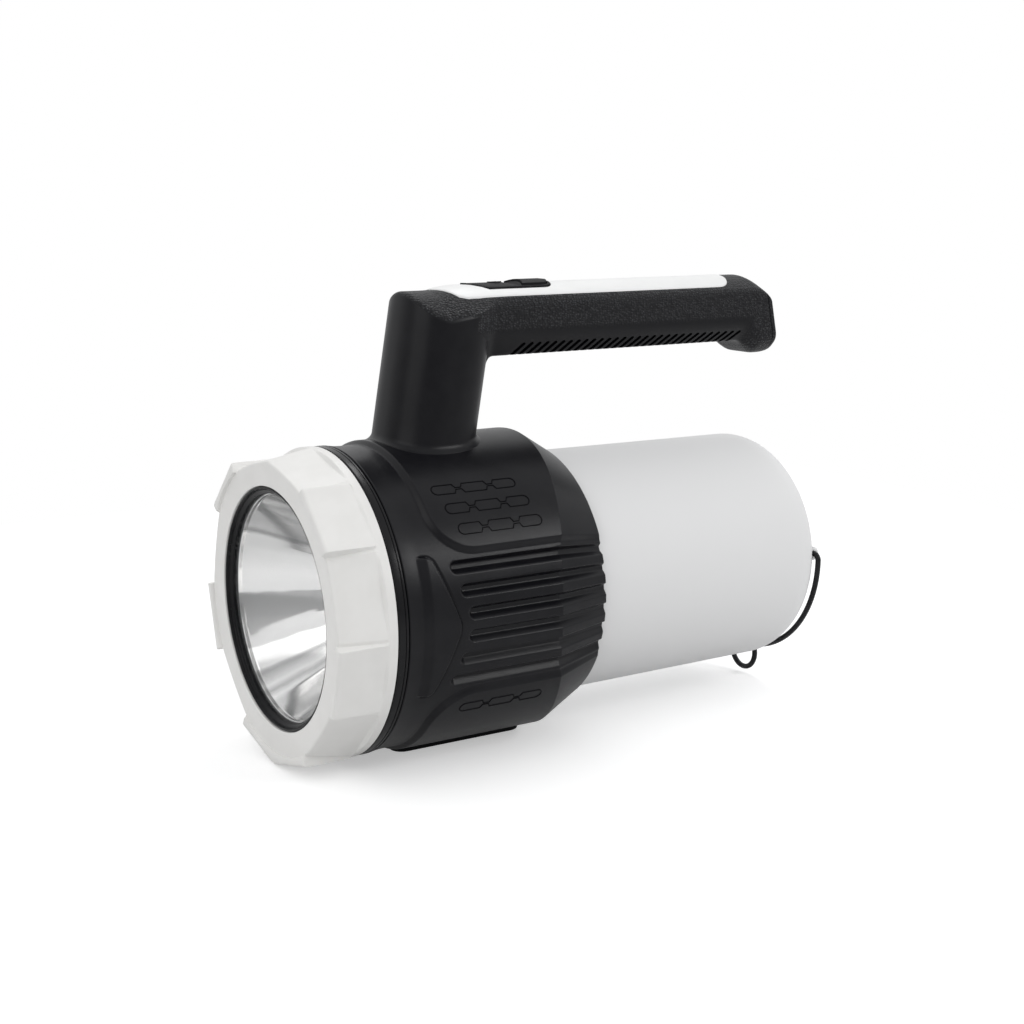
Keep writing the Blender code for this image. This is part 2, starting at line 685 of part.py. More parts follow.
def groove_lines(index, half_width):
    """One groove's outline, open at the housing's rear edge."""
    u = groove_angle(index) * HOUSING_R
    start = groove_start(index)
    arc = [math.pi * i / 6 for i in range(7)]
    bend = [(u + half_width * math.cos(t), start - half_width * math.sin(t)) for t in arc]
    kink = HOUSING_END - TAPER_RUN
    stations = [HOUSING_END, kink, mix(kink, start, 0.5)]
    return [(u + half_width, s) for s in stations] + bend + [(u - half_width, s) for s in reversed(stations)]


def housing_shell():
    lines = []
    edges = set()
    for inset in (0, SADDLE_BEVEL):
        lines += saddle_lines(inset)
    for index in range(GROOVE_COUNT):
        for half_width in (GROOVE_HALF_WIDTH, GROOVE_FLOOR_HALF_WIDTH):
            lines.append(groove_lines(index, half_width))
    lines += [arrow_outline(0), arrow_outline(1)]
    half_turn = math.pi * HOUSING_R
    for line in lines:
        edges.update(u for u, s in line if s == HOUSING_END)
    even = [u for u in spread(0.0, half_turn, 25) if all(abs(u - e) > GROOVE_HALF_WIDTH / 2 for e in edges)]
    angles = sorted(u / HOUSING_R for u in {*even, *edges, 0.0, half_turn})
    angles[-1] = math.pi
    lines.append([(a * HOUSING_R, taper_start(a)) for a in angles])
    stations = [HOUSING_STATION + HOUSING_FLARE_RUN / 2, HOUSING_STATION + HOUSING_FLARE_RUN]
    stations += spread(HOUSING_STATION + HOUSING_FLARE_RUN, HOUSING_END - TAPER_RUN, 6)[1:]
    step = SHELF_THICKNESS / 2
    inner = [(HOUSING_STATION, NECK_R), (NECK_STATION, NECK_R), (NECK_STATION, NECK_BORE_R),
             (HOUSING_STATION + step, NECK_BORE_R), (HOUSING_STATION + 2 * step, CAVITY_R),
             (SHELF_FRONT, CAVITY_R), (SHELF_FRONT, SHELF_BORE_R), (SHELF_REAR, SHELF_BORE_R),
             (SHELF_REAR, REAR_BORE_R), (HOUSING_END, REAR_BORE_R)]
    ends = (HOUSING_STATION, HOUSING_END)
    return wrapped_shell("housing", "black", ends, angles, stations, lines, housing_radius, inner, HOUSING_R)


def post_loop(height, grow, follow_saddle=False):
    """One level of the leaning post, a soft square; the lowest levels follow the round saddle under it."""
    points = []
    for i in range(POST_POINTS):
        turn = 2 * math.pi * i / POST_POINTS
        c = math.cos(turn)
        s = math.sin(turn)
        power = 2 / POST_SQUARENESS
        x = math.copysign(abs(c) ** power, c) * (POST_HALF_WIDTH + grow)
        along = math.copysign(abs(s) ** power, s) * (POST_HALF_DEPTH + grow)
        z = height
        if follow_saddle:
            z += math.sqrt((HOUSING_R + SADDLE_RISE) ** 2 - x ** 2)
        station = post_middle(z) + along
        points.append(place(x, station, z))
    return points


def post_body(name, grow, foot_flare):
    top = ROOF_HEIGHT + OVERRUN * 2
    root = post_loop(-HOUSING_WALL / 2, grow + foot_flare, True)
    foot = post_loop(TINY_SHARE * MM, grow + foot_flare, True)
    knee = post_loop(POST_FLARE / 3, grow + foot_flare / 3, True)
    ankle = post_loop(POST_FLARE, grow, True)
    levels = [post_loop(z, grow) for z in spread(mix(HOUSING_R, ROOF_HEIGHT, 0.2), top, 4)]
    return loft(name, [root, foot, knee, ankle, *levels], "black")


def roof_height(x):
    """The roof of the head and the grip falls away from its middle line."""
    return ROOF_HEIGHT - ROOF_DROP * (x / POST_HALF_WIDTH) ** 2


def roof_solid():
    """Everything under the roof, with the roof dipping a little at the front of the head."""
    low = HOUSING_R / 2
    half = POST_HALF_WIDTH + POST_FLARE + OVERRUN
    front = POST_STATION - POST_HALF_DEPTH - 4 * POST_FLARE
    sections = []
    for station, drop in ((front, ROOF_FRONT_DROP), (STRIP_TIP, 0), (GRIP_END, 0)):
        top = [place(x, station, roof_height(x) - drop) for x in spread(-half, half, 13)]
        sections.append([place(half, station, low), place(-half, station, low), *top])
    return loft("roof_solid", sections, "black")


def grip_share(station):
    return ramp(station - POST_STATION, NUB_START - POST_STATION)


def chamfer_top(station):
    """Height of the edge between the grip's lower chamfer and its side."""
    return GRIP_BOTTOM + mix(GRIP_CHAMFER_HEIGHT, GRIP_CHAMFER_REAR_HEIGHT, grip_share(station))


def grip_loop(station, shrink):
    """One section across the grip: flat belly, chamfered sides and a crowned top under the white strip."""
    share = grip_share(station)
    bulge = 0.5 - 0.5 * math.cos(math.pi * ramp(station - NUB_START, NUB_RUN))
    bottom = GRIP_BOTTOM - NUB_DROP * bulge + shrink
    half = GRIP_HALF_WIDTH - shrink
    low = chamfer_top(station) + shrink / 2
    high = HANDLE_HEIGHT - mix(GRIP_SHOULDER_DROP, GRIP_SHOULDER_REAR_DROP, share) - shrink * 1.4
    edge_x = STRIP_HALF_WIDTH + 3 * SEAT_GAP - shrink
    drop = STRIP_THICKNESS + shrink if shrink else 0
    right = [(GRIP_BOTTOM_HALF_WIDTH - shrink / 2, bottom),
             (mix(half, GRIP_BOTTOM_HALF_WIDTH, 0.15), mix(low, bottom, 0.2)), (half, low), (half, high)]
    right += [(edge_x * share_x, crown(edge_x * share_x) - drop) for share_x in (1, 0.7, 0.35)]
    left = [(-x, z) for x, z in reversed(right)]
    return [place(x, station, z) for x, z in right + left]


def crown(x, station=PAD_TIP):
    """Height of the white strip's crowned top, which dips towards its tip."""
    dip = STRIP_TIP_DIP * (1 - ramp(station - STRIP_TIP, PAD_TIP - STRIP_TIP)) ** 2
    return HANDLE_HEIGHT - STRIP_CROWN_DROP * (x / STRIP_HALF_WIDTH) ** 2 - dip


def grip_prism(name, start, end, shrink):
    steps = [start, *spread(NUB_START, NUB_START + NUB_RUN, 6), end]
    return loft(name, [grip_loop(s, shrink) for s in steps], "rubber")


def end_station(z):
    """The grip's end leans forward as it rises."""
    return GRIP_END - (z - GRIP_BOTTOM) * GRIP_END_LEAN


def grip_side_outline(shrink):
    """Side view of the grip: straight belly, leaning end and a rounded upper rear corner."""
    bottom = GRIP_BOTTOM - NUB_DROP - OVERRUN
    top = HANDLE_HEIGHT + OVERRUN
    corner = GRIP_END_ROUND - shrink
    centre_z = HANDLE_HEIGHT - STRIP_CROWN_DROP / 2 - GRIP_END_ROUND
    centre_s = end_station(centre_z) - GRIP_END_ROUND
    lower_round = NUB_DROP / 2
    outline = [(POST_STATION, bottom), (end_station(bottom) - shrink - 2 * lower_round, bottom),
               (end_station(GRIP_BOTTOM) - shrink, GRIP_BOTTOM)]
    for t in spread(0, math.pi / 2, 7):
        outline.append((centre_s + corner * math.cos(t), centre_z + corner * math.sin(t)))
    outline += [(centre_s - 2 * corner, top), (POST_STATION, top)]
    return outline


def grip_side_solid(name, shrink):
    half = GRIP_HALF_WIDTH + OVERRUN
    sections = [[place(x, s, z) for s, z in grip_side_outline(shrink)] for x in (-half, half)]
    return loft(name, sections, "black")


def slot_cutter(index, side):
    """One slanted groove on the lower chamfer of the grip."""
    station = SLOT_FIRST + index * SLOT_PITCH
    rise = chamfer_top(station) - GRIP_BOTTOM
    run = rise / math.tan(SLOT_SLANT)
    outer = GRIP_HALF_WIDTH + OVERRUN
    sections = []
    for share in SLOT_END_SHARES:
        reach = mix(GRIP_BOTTOM_HALF_WIDTH, GRIP_HALF_WIDTH, share) - SLOT_DEPTH
        start = station + run * share
        corners = [(reach, start), (outer, start), (outer, start + SLOT_WIDTH), (reach, start + SLOT_WIDTH)]
        sections.append([place(side * x, s, GRIP_BOTTOM + rise * share) for x, s in corners])
    return loft("slot_cutter", sections, "black")


def strip_outline(grow):
    """Plan of the white strip: pointed front, parallel sides and a round rear end."""
    half = STRIP_HALF_WIDTH + grow
    right = [(0, STRIP_TIP - grow), (half * 0.9, STRIP_SHOULDER - grow), (half, mix(STRIP_SHOULDER, PAD_CORNER, 0.3))]
    round_r = half * 0.6
    centre = STRIP_END + grow - round_r
    right += [(half - round_r + round_r * math.cos(t), centre + round_r * math.sin(t))
              for t in spread(0, math.pi / 2, 5)]
    return right + [(-x, s) for x, s in reversed(right[1:])]


def pad_outline(grow):
    """Plan of the switch pad: a blunt arrow in front and a round rear end."""
    half = PAD_HALF_WIDTH + grow
    right = [(0, PAD_TIP - grow), (half, PAD_CORNER)]
    round_r = half * 0.6
    centre = PAD_END + grow - round_r
    right += [(half - round_r + round_r * math.cos(t), centre + round_r * math.sin(t))
              for t in spread(0, math.pi / 2, 5)]
    return right + [(-x, s) for x, s in reversed(right[1:])]


def power_outline(grow):
    """Plan of the front button, which fills the low part of the pad."""
    half = PAD_HALF_WIDTH - PAD_BORDER + grow
    back = PAD_SPLIT - PAD_BORDER / 2 + grow
    front = PAD_CORNER - half * 0.6
    return [(half * 0.35, front - grow), (half, PAD_CORNER + PAD_BORDER / 2), (half, back), (-half, back),
            (-half, PAD_CORNER + PAD_BORDER / 2), (-half * 0.35, front - grow)]


def mode_outline(grow):
    """Plan of the raised rear button: scooped front edge and round rear end."""
    half = PAD_HALF_WIDTH - PAD_BORDER + grow
    front = PAD_SPLIT + PAD_BORDER / 2 - grow
    round_r = half * 0.6
    centre = PAD_END - PAD_BORDER + grow - round_r
    right = [(half - round_r + round_r * math.cos(t), centre + round_r * math.sin(t))
             for t in spread(0, math.pi / 2, 5)]
    left = [(-x, s) for x, s in reversed(right)]
    scoop = [(x, front + half * 0.3 * (1 - (x / half) ** 2)) for x in spread(-half, half, 7)]
    return right + left + scoop


def clean_outline(outline):
    """Drops points that repeat the one before them."""
    kept = []
    for point in outline:
        if not kept or math.dist(point, kept[-1]) > TINY_SHARE * MM:
            kept.append(point)
    if math.dist(kept[0], kept[-1]) <= TINY_SHARE * MM:
        kept.pop()
    return kept


def draped_slab(name, finish, outline, holes, low, high):
    """A slab with a flat plan whose under and upper faces follow heights given over x."""
    outline = clean_outline(outline)
    holes = [clean_outline(hole) for hole in holes]
    loops = [outline, *holes]
    stations = [s for _, s in outline]
    guides = []
    for x in spread(-STRIP_HALF_WIDTH, STRIP_HALF_WIDTH, 9)[1:-1]:
        guides += [(x, s) for s in spread(min(stations), max(stations), 5)[1:-1]]
        guides += [(x, mix(STRIP_TIP, PAD_TIP, share)) for share in (0.35, 0.7)]
    guides = [guide for guide in guides if inside(guide, outline)]
    flat, faces = triangulate([loop + loop[:1] for loop in loops], guides, PAD_BORDER / 2)
    kept = []
    for face in faces:
        middle = [sum(flat[i][k] for i in face) / 3 for k in (0, 1)]
        if inside(middle, outline) and not any(inside(middle, hole) for hole in holes):
            kept.append(face)
    bm = bmesh.new()
    skins = []
    for height in (low, high):
        skins.append([bm.verts.new(place(x, s, height(x, s))) for x, s in flat])
        for face in kept:
            bm.faces.new([skins[-1][i] for i in face])
    sides = {}
    for face in kept:
        for a, b in zip(face, face[1:] + face[:1]):
            sides[frozenset((a, b))] = sides.get(frozenset((a, b)), 0) + 1
    for edge, uses in sides.items():
        if uses == 1:
            a, b = edge
            bm.faces.new([skins[0][a], skins[0][b], skins[1][b], skins[1][a]])
    loose = [v for v in bm.verts if not v.link_faces]
    bmesh.ops.delete(bm, geom=loose, context="VERTS")
    return make(name, bm, finish)


def strip_recess(name):
    """The pocket that takes the white strip, with its clearance."""
    def floor(x, station):
        return crown(x, station) - STRIP_THICKNESS - SEAT_GAP

    def sky(x, station):
        return HANDLE_HEIGHT + HOUSING_WALL
    return draped_slab(name, "black", strip_outline(SEAT_GAP), [], floor, sky)


def switch_well(name):
    """Room under the strip for the switch board and the buttons' stems."""
    half = PAD_HALF_WIDTH + 2 * PAD_BORDER
    return box(name, (-half, half), (PAD_TIP, PAD_END + PAD_BORDER), (SWITCH_LEDGE, HANDLE_HEIGHT + OVERRUN))


def housing():
    shell = housing_shell()
    head = post_body("post", 0, POST_FLARE)
    apply_boolean(head, roof_solid(), "INTERSECT")
    join(shell, head)
    tongue_end = POST_STATION + POST_HALF_DEPTH * 2
    tongue = grip_prism_short("tongue", POST_STATION, tongue_end, MOULDED_WALL + SEAT_GAP)
    join(shell, tongue)
    half = PAD_HALF_WIDTH + PAD_BORDER
    low = CAVITY_R - HOUSING_WALL
    high = HANDLE_HEIGHT - GRIP_SHOULDER_DROP
    reach = POST_HALF_DEPTH - POST_WALL - POST_FLARE
    sections = []
    for z in (low, high):
        corners = ((half, -reach), (half, reach), (-half, reach), (-half, -reach))
        sections.append([place(x, post_middle(z) + s, z) for x, s in corners])
    shaft = loft("wire_shaft", sections, "black")
    passage = box("wire_passage", (-half, half), (POST_STATION, tongue_end + OVERRUN),
                  (GRIP_BOTTOM + 2 * MOULDED_WALL, high))
    cut(shell, shaft, passage, strip_recess("head_recess"), switch_well("head_well"))
    for index in range(SCREW_COUNT):
        cut(shell, base_screw("screw_hole", index, SEAT_GAP))
    cut(shell, foot_plan("foot_pocket", SEAT_GAP, -REST_HEIGHT - OVERRUN, -REST_HEIGHT + FOOT_THICKNESS + SEAT_GAP))
    return shell


def grip_prism_short(name, start, end, shrink):
    return loft(name, [grip_loop(s, shrink) for s in (start, end)], "rubber")


def grip_shell():
    grip = grip_prism("grip_shell", POST_STATION, GRIP_END + OVERRUN, 0)
    apply_boolean(grip, grip_side_solid("grip_side", 0), "INTERSECT")
    hollow = grip_prism("grip_hollow", POST_STATION - OVERRUN, GRIP_END + OVERRUN, MOULDED_WALL)
    apply_boolean(hollow, grip_side_solid("grip_hollow_side", 2 * MOULDED_WALL), "INTERSECT")
    cut(grip, hollow)
    cut(grip, post_body("post_seat", SEAT_GAP, 0))
    cut(grip, strip_recess("grip_recess"), switch_well("grip_well"))
    for side in (1, -1):
        for index in range(SLOT_COUNT):
            cut(grip, slot_cutter(index, side))
    cut(grip, cover_plate("cover_seat", SEAT_GAP), hinge_rod("pin_bore", PIN_HALF_LENGTH, COVER_PIN_R, SEAT_GAP))
    cut(grip, socket_block("socket_window", SEAT_GAP, OVERRUN))
    return grip


def cover_plate(name, grow):
    """The flap over the charging port: a plate that leans with the grip's end, and a barrel at its foot."""
    low = HINGE_HEIGHT if grow == 0 else HINGE_HEIGHT - BARREL_R - NUB_DROP
    outer = -OVERRUN if grow else 0
    depth = COVER_THICKNESS + grow
    half = COVER_HALF_WIDTH + grow
    top = COVER_TOP + grow
    sections = []
    for x in (-half, half):
        corners = ((outer, low), (depth, low), (depth, top), (outer, top))
        sections.append([place(x, end_station(z) - inward, z) for inward, z in corners])
    plate = loft(name, sections, "black")
    join(plate, hinge_rod("barrel", half, BARREL_R, grow))
    return plate


def hinge_station():
    return end_station(HINGE_HEIGHT) - BARREL_R


def hinge_rod(name, half_length, radius, grow):
    """A round bar on the flap's hinge line, grown all round by a clearance."""
    reach = half_length + grow
    return rod(name, (-reach, hinge_station(), HINGE_HEIGHT), (reach, hinge_station(), HINGE_HEIGHT), radius + grow)


def socket_block(name, grow, lead=0):
    """The outer form of the charging socket, a flat block with round ends."""
    front = end_station(SOCKET_HEIGHT) - COVER_THICKNESS - SEAT_GAP - SOCKET_DEPTH
    rear = front + SOCKET_DEPTH - SEAT_GAP + lead
    radius = SOCKET_HALF_HEIGHT + grow
    middle = SOCKET_HALF_WIDTH - SOCKET_HALF_HEIGHT
    sections = []
    for station in (front, rear):
        section = []
        for i in range(16):
            turn = 2 * math.pi * (i + 0.5) / 16
            x = math.copysign(middle, math.cos(turn)) + radius * math.cos(turn)
            section.append(place(x, station, SOCKET_HEIGHT + radius * math.sin(turn)))
        sections.append(section)
    return loft(name, sections, "steel")


def lead(name, stops):
    """A cable that bends gently between stops given as (station, height) in the middle plane."""
    route = [place(0, *stops[0])]
    for start, end in zip(stops, stops[1:]):
        for share in spread(0, 1, LEAD_POINTS)[1:]:
            eased = 0.5 - 0.5 * math.cos(math.pi * share)
            route.append(place(0, mix(start[0], end[0], eased), mix(start[1], end[1], share)))
    return tube(name, route, LEAD_R, "rubber", Vector((1, 0, 0)))


def post_middle(height):
    """Station of the leaning post's middle at a height."""
    return POST_STATION + (height - GRIP_BOTTOM) * POST_LEAN


def charging_electronics():
    """The charging socket's board at the end of the grip, and the leads that join the three boards."""
    board_low = SOCKET_HEIGHT + SOCKET_HALF_HEIGHT + SEAT_GAP
    rear = end_station(board_low + BOARD_THICKNESS) - 2 * MOULDED_WALL - SEAT_GAP
    front = rear - CHARGE_BOARD_LENGTH
    half = GRIP_HALF_WIDTH - MOULDED_WALL - SEAT_GAP
    box("charge_board", (-half, half), (front, rear), (board_low, board_low + BOARD_THICKNESS), "board")
    middle = BOARD_THICKNESS / 2
    lead("charge_lead", [(PAD_END + PAD_BORDER, SWITCH_LEDGE + SEAT_GAP + middle), (front - SEAT_GAP, board_low + middle)])
    lead("switch_lead", [(DRIVER_STATION + middle, DRIVER_HALF_HEIGHT + SEAT_GAP), (post_middle(CAVITY_R), CAVITY_R),
                         (PAD_TIP + LEAD_R + SEAT_GAP, SWITCH_LEDGE)])


def charging_port():
    cover = cover_plate("port_cover", 0)
    cut(cover, hinge_rod("cover_bore", COVER_HALF_WIDTH, COVER_PIN_R, RUN_GAP))
    set_origin(cover, place(0, hinge_station(), HINGE_HEIGHT))
    hinge = hinge_rod("cover_pin", PIN_HALF_LENGTH, COVER_PIN_R, 0)
    hinge.data.materials.clear()
    hinge.data.materials.append(material("cover_pin_steel", *FINISHES["steel"]))
    socket = socket_block("charge_socket", 0)
    cut(socket, socket_block("mouth", -SOCKET_WALL, OVERRUN))


def handle_strip():
    well = clean_outline(pad_outline(SEAT_GAP))
    return draped_slab("handle_strip", "white", strip_outline(0), [well], lambda x, s: crown(x, s) - STRIP_THICKNESS, crown)


def button(name, outline, lift):
    """A rubber button: shaped top, flange under the frame, and a stem down to its switch."""
    stations = [s for _, s in outline]
    front = min(stations) + PAD_BORDER
    back = max(stations) - PAD_BORDER
    middle = (front + back) / 2
    under = PAD_SINK + RUN_GAP
    made = draped_slab(name, "rubber", outline, [], lambda x, s: crown(x) - under - BUTTON_FLANGE,
                       lambda x, s: crown(x) + lift)
    flange = [(-PAD_HALF_WIDTH, front), (PAD_HALF_WIDTH, front), (PAD_HALF_WIDTH, back), (-PAD_HALF_WIDTH, back)]
    join(made, draped_slab("flange", "rubber", flange, [], lambda x, s: crown(x) - under - BUTTON_FLANGE,
                           lambda x, s: crown(x) - under))
    join(made, rod("stem", (0, middle, switch_top() + SEAT_GAP), (0, middle, crown(0) - under), STEM_R, sides=16))
    set_origin(made, place(0, middle, crown(0)))
    return middle


def switch_top():
    """Height of a plunger's top at rest, above its switch by the button's travel."""
    return SWITCH_LEDGE + 3 * SEAT_GAP + BOARD_THICKNESS + SWITCH_HEIGHT + BUTTON_TRAVEL


def switch_parts():
    holes = [power_outline(RUN_GAP), mode_outline(RUN_GAP)]
    draped_slab("switch_frame", "rubber", pad_outline(0), holes, lambda x, s: crown(x) - PAD_SINK,
                lambda x, s: crown(x) + PAD_LIFT)
    half = PAD_HALF_WIDTH + 2 * PAD_BORDER - SEAT_GAP
    board_low = SWITCH_LEDGE + SEAT_GAP
    board_top = board_low + BOARD_THICKNESS
    box("switch_board", (-half, half), (PAD_TIP + SEAT_GAP, PAD_END + PAD_BORDER - SEAT_GAP), (board_low, board_top),
        "board")
    buttons = (("power", power_outline(0), BUTTON_LIFT), ("mode", mode_outline(0), MODE_LIFT))
    for name, outline, lift in buttons:
        middle = button(name + "_button", outline, lift)
        body = SWITCH_SIDE / 2
        low = board_top + SEAT_GAP
        switch = box(name + "_switch", (-body, body), (middle - body, middle + body), (low, low + SWITCH_HEIGHT))
        cut(switch, rod("bore", (0, middle, low + SWITCH_FLOOR), (0, middle, switch_top()), PLUNGER_R + RUN_GAP))
        foot = low + SWITCH_FLOOR + SEAT_GAP + BUTTON_TRAVEL
        rod(name + "_plunger", (0, middle, foot), (0, middle, switch_top()), PLUNGER_R, "rubber")


def optics():
    back = BEZEL_LIP + SEAT_GAP
    flange = back + GASKET_FLANGE
    lens_r = GASKET_BORE_R + LENS_SEAT
    rim = BEZEL_BORE_R - SEAT_GAP
    lens_front = LENS_STATION
    lens_back = lens_front + LENS_THICKNESS
    shown = back - GASKET_SHOWN
    hole = LENS_OPENING_R - SEAT_GAP
    profile = [(shown, hole - GASKET_LIP / 2), (shown, hole), (back, hole), (back, rim),
               (lens_back + SEAT_GAP / 2, rim), (lens_back + SEAT_GAP / 2, lens_r + SEAT_GAP),
               (flange, lens_r + SEAT_GAP), (flange, GASKET_BORE_R), (back, GASKET_BORE_R)]
    revolve("lens_gasket", profile, "rubber", 48)
    dome = [(lens_front - LENS_DOME * (1 - (r / GASKET_BORE_R) ** 2), r) for r in
            spread(0, GASKET_BORE_R - SEAT_GAP, 6)]
    lens = [*dome, (lens_front, GASKET_BORE_R - SEAT_GAP), (lens_front, lens_r), (lens_back, lens_r), (lens_back, 0)]
    revolve("front_lens", clean_outline(lens), "clear", 48)
    reflector(rim)


def reflector(rim):
    """A deep bowl of flat panels with a round flange that seats on the housing's neck."""
    front = REFLECTOR_STATION
    bottom = front + REFLECTOR_DEPTH
    segments = REFLECTOR_PANELS * 6
    side = 2 * math.pi / REFLECTOR_PANELS
    flange_back = NECK_STATION - SEAT_GAP

    def bowl(share, offset):
        radius = REFLECTOR_THROAT_R + (REFLECTOR_MOUTH_R - REFLECTOR_THROAT_R) * math.sqrt(1 - share)
        station = mix(front, bottom, share)
        ring = []
        for i in range(segments):
            angle = 2 * math.pi * i / segments
            flat = math.cos(side / 2) / math.cos(angle % side - side / 2)
            ring.append(around(angle, station, radius * mix(1.0, flat, ramp(share, 0.15)) + offset))
        return ring

    shares = (0.0, 0.15, 0.4, 0.65, 0.85, 1.0)
    rings = [bowl(share, 0) for share in shares]
    outer = [bowl(share, REFLECTOR_WALL) for share in reversed(shares[1:])]
    angles = [2 * math.pi * i / segments for i in range(segments)]
    flange = [[around(a, flange_back, REFLECTOR_MOUTH_R + REFLECTOR_WALL) for a in angles],
              [around(a, flange_back, rim) for a in angles], [around(a, front, rim) for a in angles]]
    bm = bmesh.new()
    loops = [[bm.verts.new(p) for p in ring] for ring in rings + outer + flange]
    bridge(bm, loops, True)
    return make("reflector", bm, "chrome")


def spot_light():
    """The chip on its board, and the cup-shaped heat sink that slides into the housing's neck."""
    board_front = SPOT_BOARD_STATION
    board_back = board_front + BOARD_THICKNESS
    revolve("spot_board", [(board_front, 0), (board_front, LED_BOARD_R), (board_back, LED_BOARD_R), (board_back, 0)],
            "board_white", 32)
    half = CHIP_SIDE / 2
    chip_back = board_front - SEAT_GAP / 3
    chip = box("spot_led", (-half, half), (chip_back - CHIP_HEIGHT, chip_back), (-half, half), "phosphor")
    dome = [(chip_back - CHIP_HEIGHT + SEAT_GAP / 3, 0), (chip_back - CHIP_HEIGHT + SEAT_GAP / 3, CHIP_DOME_R)]
    dome += [(chip_back - CHIP_HEIGHT - CHIP_DOME_R * math.sin(t), CHIP_DOME_R * math.cos(t))
             for t in spread(0, math.pi / 2, 5)[:-1]]
    dome.append((chip_back - CHIP_HEIGHT - CHIP_DOME_R, 0))
    join(chip, revolve("dome", dome, "phosphor", 20))
    base_front = SINK_STATION
    base_back = base_front + HEAT_SINK_BASE
    outer = NECK_BORE_R - SEAT_GAP
    skirt = base_front - HEAT_SINK_SKIRT
    profile = [(skirt, outer - HEAT_SINK_WALL), (skirt, outer), (base_back, outer), (base_back, 0), (base_front, 0),
               (base_front, outer - HEAT_SINK_WALL)]
    sink = revolve("heat_sink", profile, "aluminium", 48)
    pitch = 2 * (outer - HEAT_SINK_WALL) / (FIN_COUNT + 1)
    for index in range(FIN_COUNT):
        x = (index - (FIN_COUNT - 1) / 2) * pitch
        reach = math.sqrt((outer - HEAT_SINK_WALL) ** 2 - x ** 2) - pitch / 2
        join(sink, box("fin", (x - FIN_THICKNESS / 2, x + FIN_THICKNESS / 2),
                       (base_back - SEAT_GAP, base_back + FIN_HEIGHT), (-reach, reach)))


def cell_height(index):
    return (index - (CELL_COUNT - 1) / 2) * (2 * CELL_R + CELL_GAP)


def power_pack():
    """Cells lying across the housing in a cradle on the shelf, with the driver board on the cradle's walls."""
    plate_front = HOLDER_STATION
    plate_back = plate_front + HOLDER_PLATE
    cell_station = CELL_STATION
    half = CELL_LENGTH / 2
    wall_in = half + CELL_TIP_HEIGHT + SEAT_GAP
    board_front = DRIVER_STATION
    board_back = board_front + BOARD_THICKNESS
    plate_r = SHELF_BORE_R + HOLDER_PLATE - SEAT_GAP
    holder = revolve("battery_holder", [(plate_front, 0), (plate_front, plate_r), (plate_back, plate_r),
                                        (plate_back, 0)], "black", 48)
    tall = cell_height(CELL_COUNT - 1) + CELL_R
    side_reach = tall * HOLDER_WALL_SHARE
    for side in (1, -1):
        x_range = sorted((side * wall_in, side * (wall_in + HOLDER_WALL)))
        join(holder, box("wall", x_range, (board_back + SEAT_GAP, plate_front + SEAT_GAP), (-side_reach, side_reach)))
        x_range = sorted((side * half / 2, side * (half / 2 + HOLDER_WALL)))
        join(holder, box("rib", x_range, (cell_station, plate_front + SEAT_GAP), (-tall, tall)))
    for index in range(CELL_COUNT):
        z = cell_height(index)
        cut(holder, rod("scoop", (-half, cell_station, z), (half, cell_station, z), CELL_R + SEAT_GAP / 2, sides=20))
    for index in range(CELL_COUNT):
        z = cell_height(index)
        side = 1 if index % 2 == 0 else -1
        cell = rod("battery_cell_" + str(index + 1), (-half, cell_station, z), (half, cell_station, z), CELL_R, "cell", 24)
        join(cell, rod("tip", (side * (half - SEAT_GAP), cell_station, z),
                       (side * (half + CELL_TIP_HEIGHT), cell_station, z), CELL_TIP_R, sides=16))
    board = box("driver_board", (-wall_in - HOLDER_WALL, wall_in + HOLDER_WALL), (board_front, board_back),
                (-DRIVER_HALF_HEIGHT, DRIVER_HALF_HEIGHT), "board")
    for x, z, w, h in DRIVER_PART_SHARES:
        x_range = ((x - w) * half, (x + w) * half)
        z_range = ((z - h) * DRIVER_HALF_HEIGHT, (z + h) * DRIVER_HALF_HEIGHT)
        join(board, box("part", x_range, (board_front - DRIVER_ROOM / 2, board_front + SEAT_GAP), z_range))


def diffuser_profile(shrink):
    """Half outline of the milky lantern from its open front to the middle of its rear face."""
    front = SHELF_REAR + SEAT_GAP + LANTERN_BASE_THICKNESS + SEAT_GAP
    bend = DIFFUSER_END - DIFFUSER_ROUND_LENGTH
    points = [(front, DIFFUSER_FRONT_R - shrink)]
    for t in spread(0, math.pi / 2, 7):
        station = bend + (DIFFUSER_ROUND_LENGTH - shrink) * math.sin(t)
        radius = DIFFUSER_REAR_R - DIFFUSER_ROUND_R + (DIFFUSER_ROUND_R - shrink) * math.cos(t)
        points.append((station, radius))
    return points + [(DIFFUSER_END - shrink, 0)]


def base_screw(name, index, grow):
    """One countersunk screw that holds the lantern's base to the housing's shelf."""
    turn = 2 * math.pi * (index + 0.25) / SCREW_COUNT
    middle = (SHELF_BORE_R + REAR_BORE_R) / 2
    centre = (middle * math.sin(turn), middle * math.cos(turn))
    top = SHELF_REAR + SEAT_GAP + LANTERN_BASE_THICKNESS + (OVERRUN if grow else -TINY_SHARE * MM)
    neck = SHELF_REAR + SEAT_GAP + LANTERN_BASE_THICKNESS - SCREW_HEAD
    foot = neck + SCREW_HEAD - SCREW_LENGTH - (OVERRUN if grow else 0)
    sections = []
    for station, radius in ((foot, SCREW_R), (neck, SCREW_R), (neck + SCREW_HEAD, SCREW_HEAD_R), (top, SCREW_HEAD_R)):
        turns = [2 * math.pi * i / 16 for i in range(16)]
        reach = radius + grow
        sections.append([place(centre[0] + reach * math.cos(t), station, centre[1] + reach * math.sin(t)) for t in turns])
    if top < neck + SCREW_HEAD:
        sections.pop()
    return loft(name, sections, "steel")


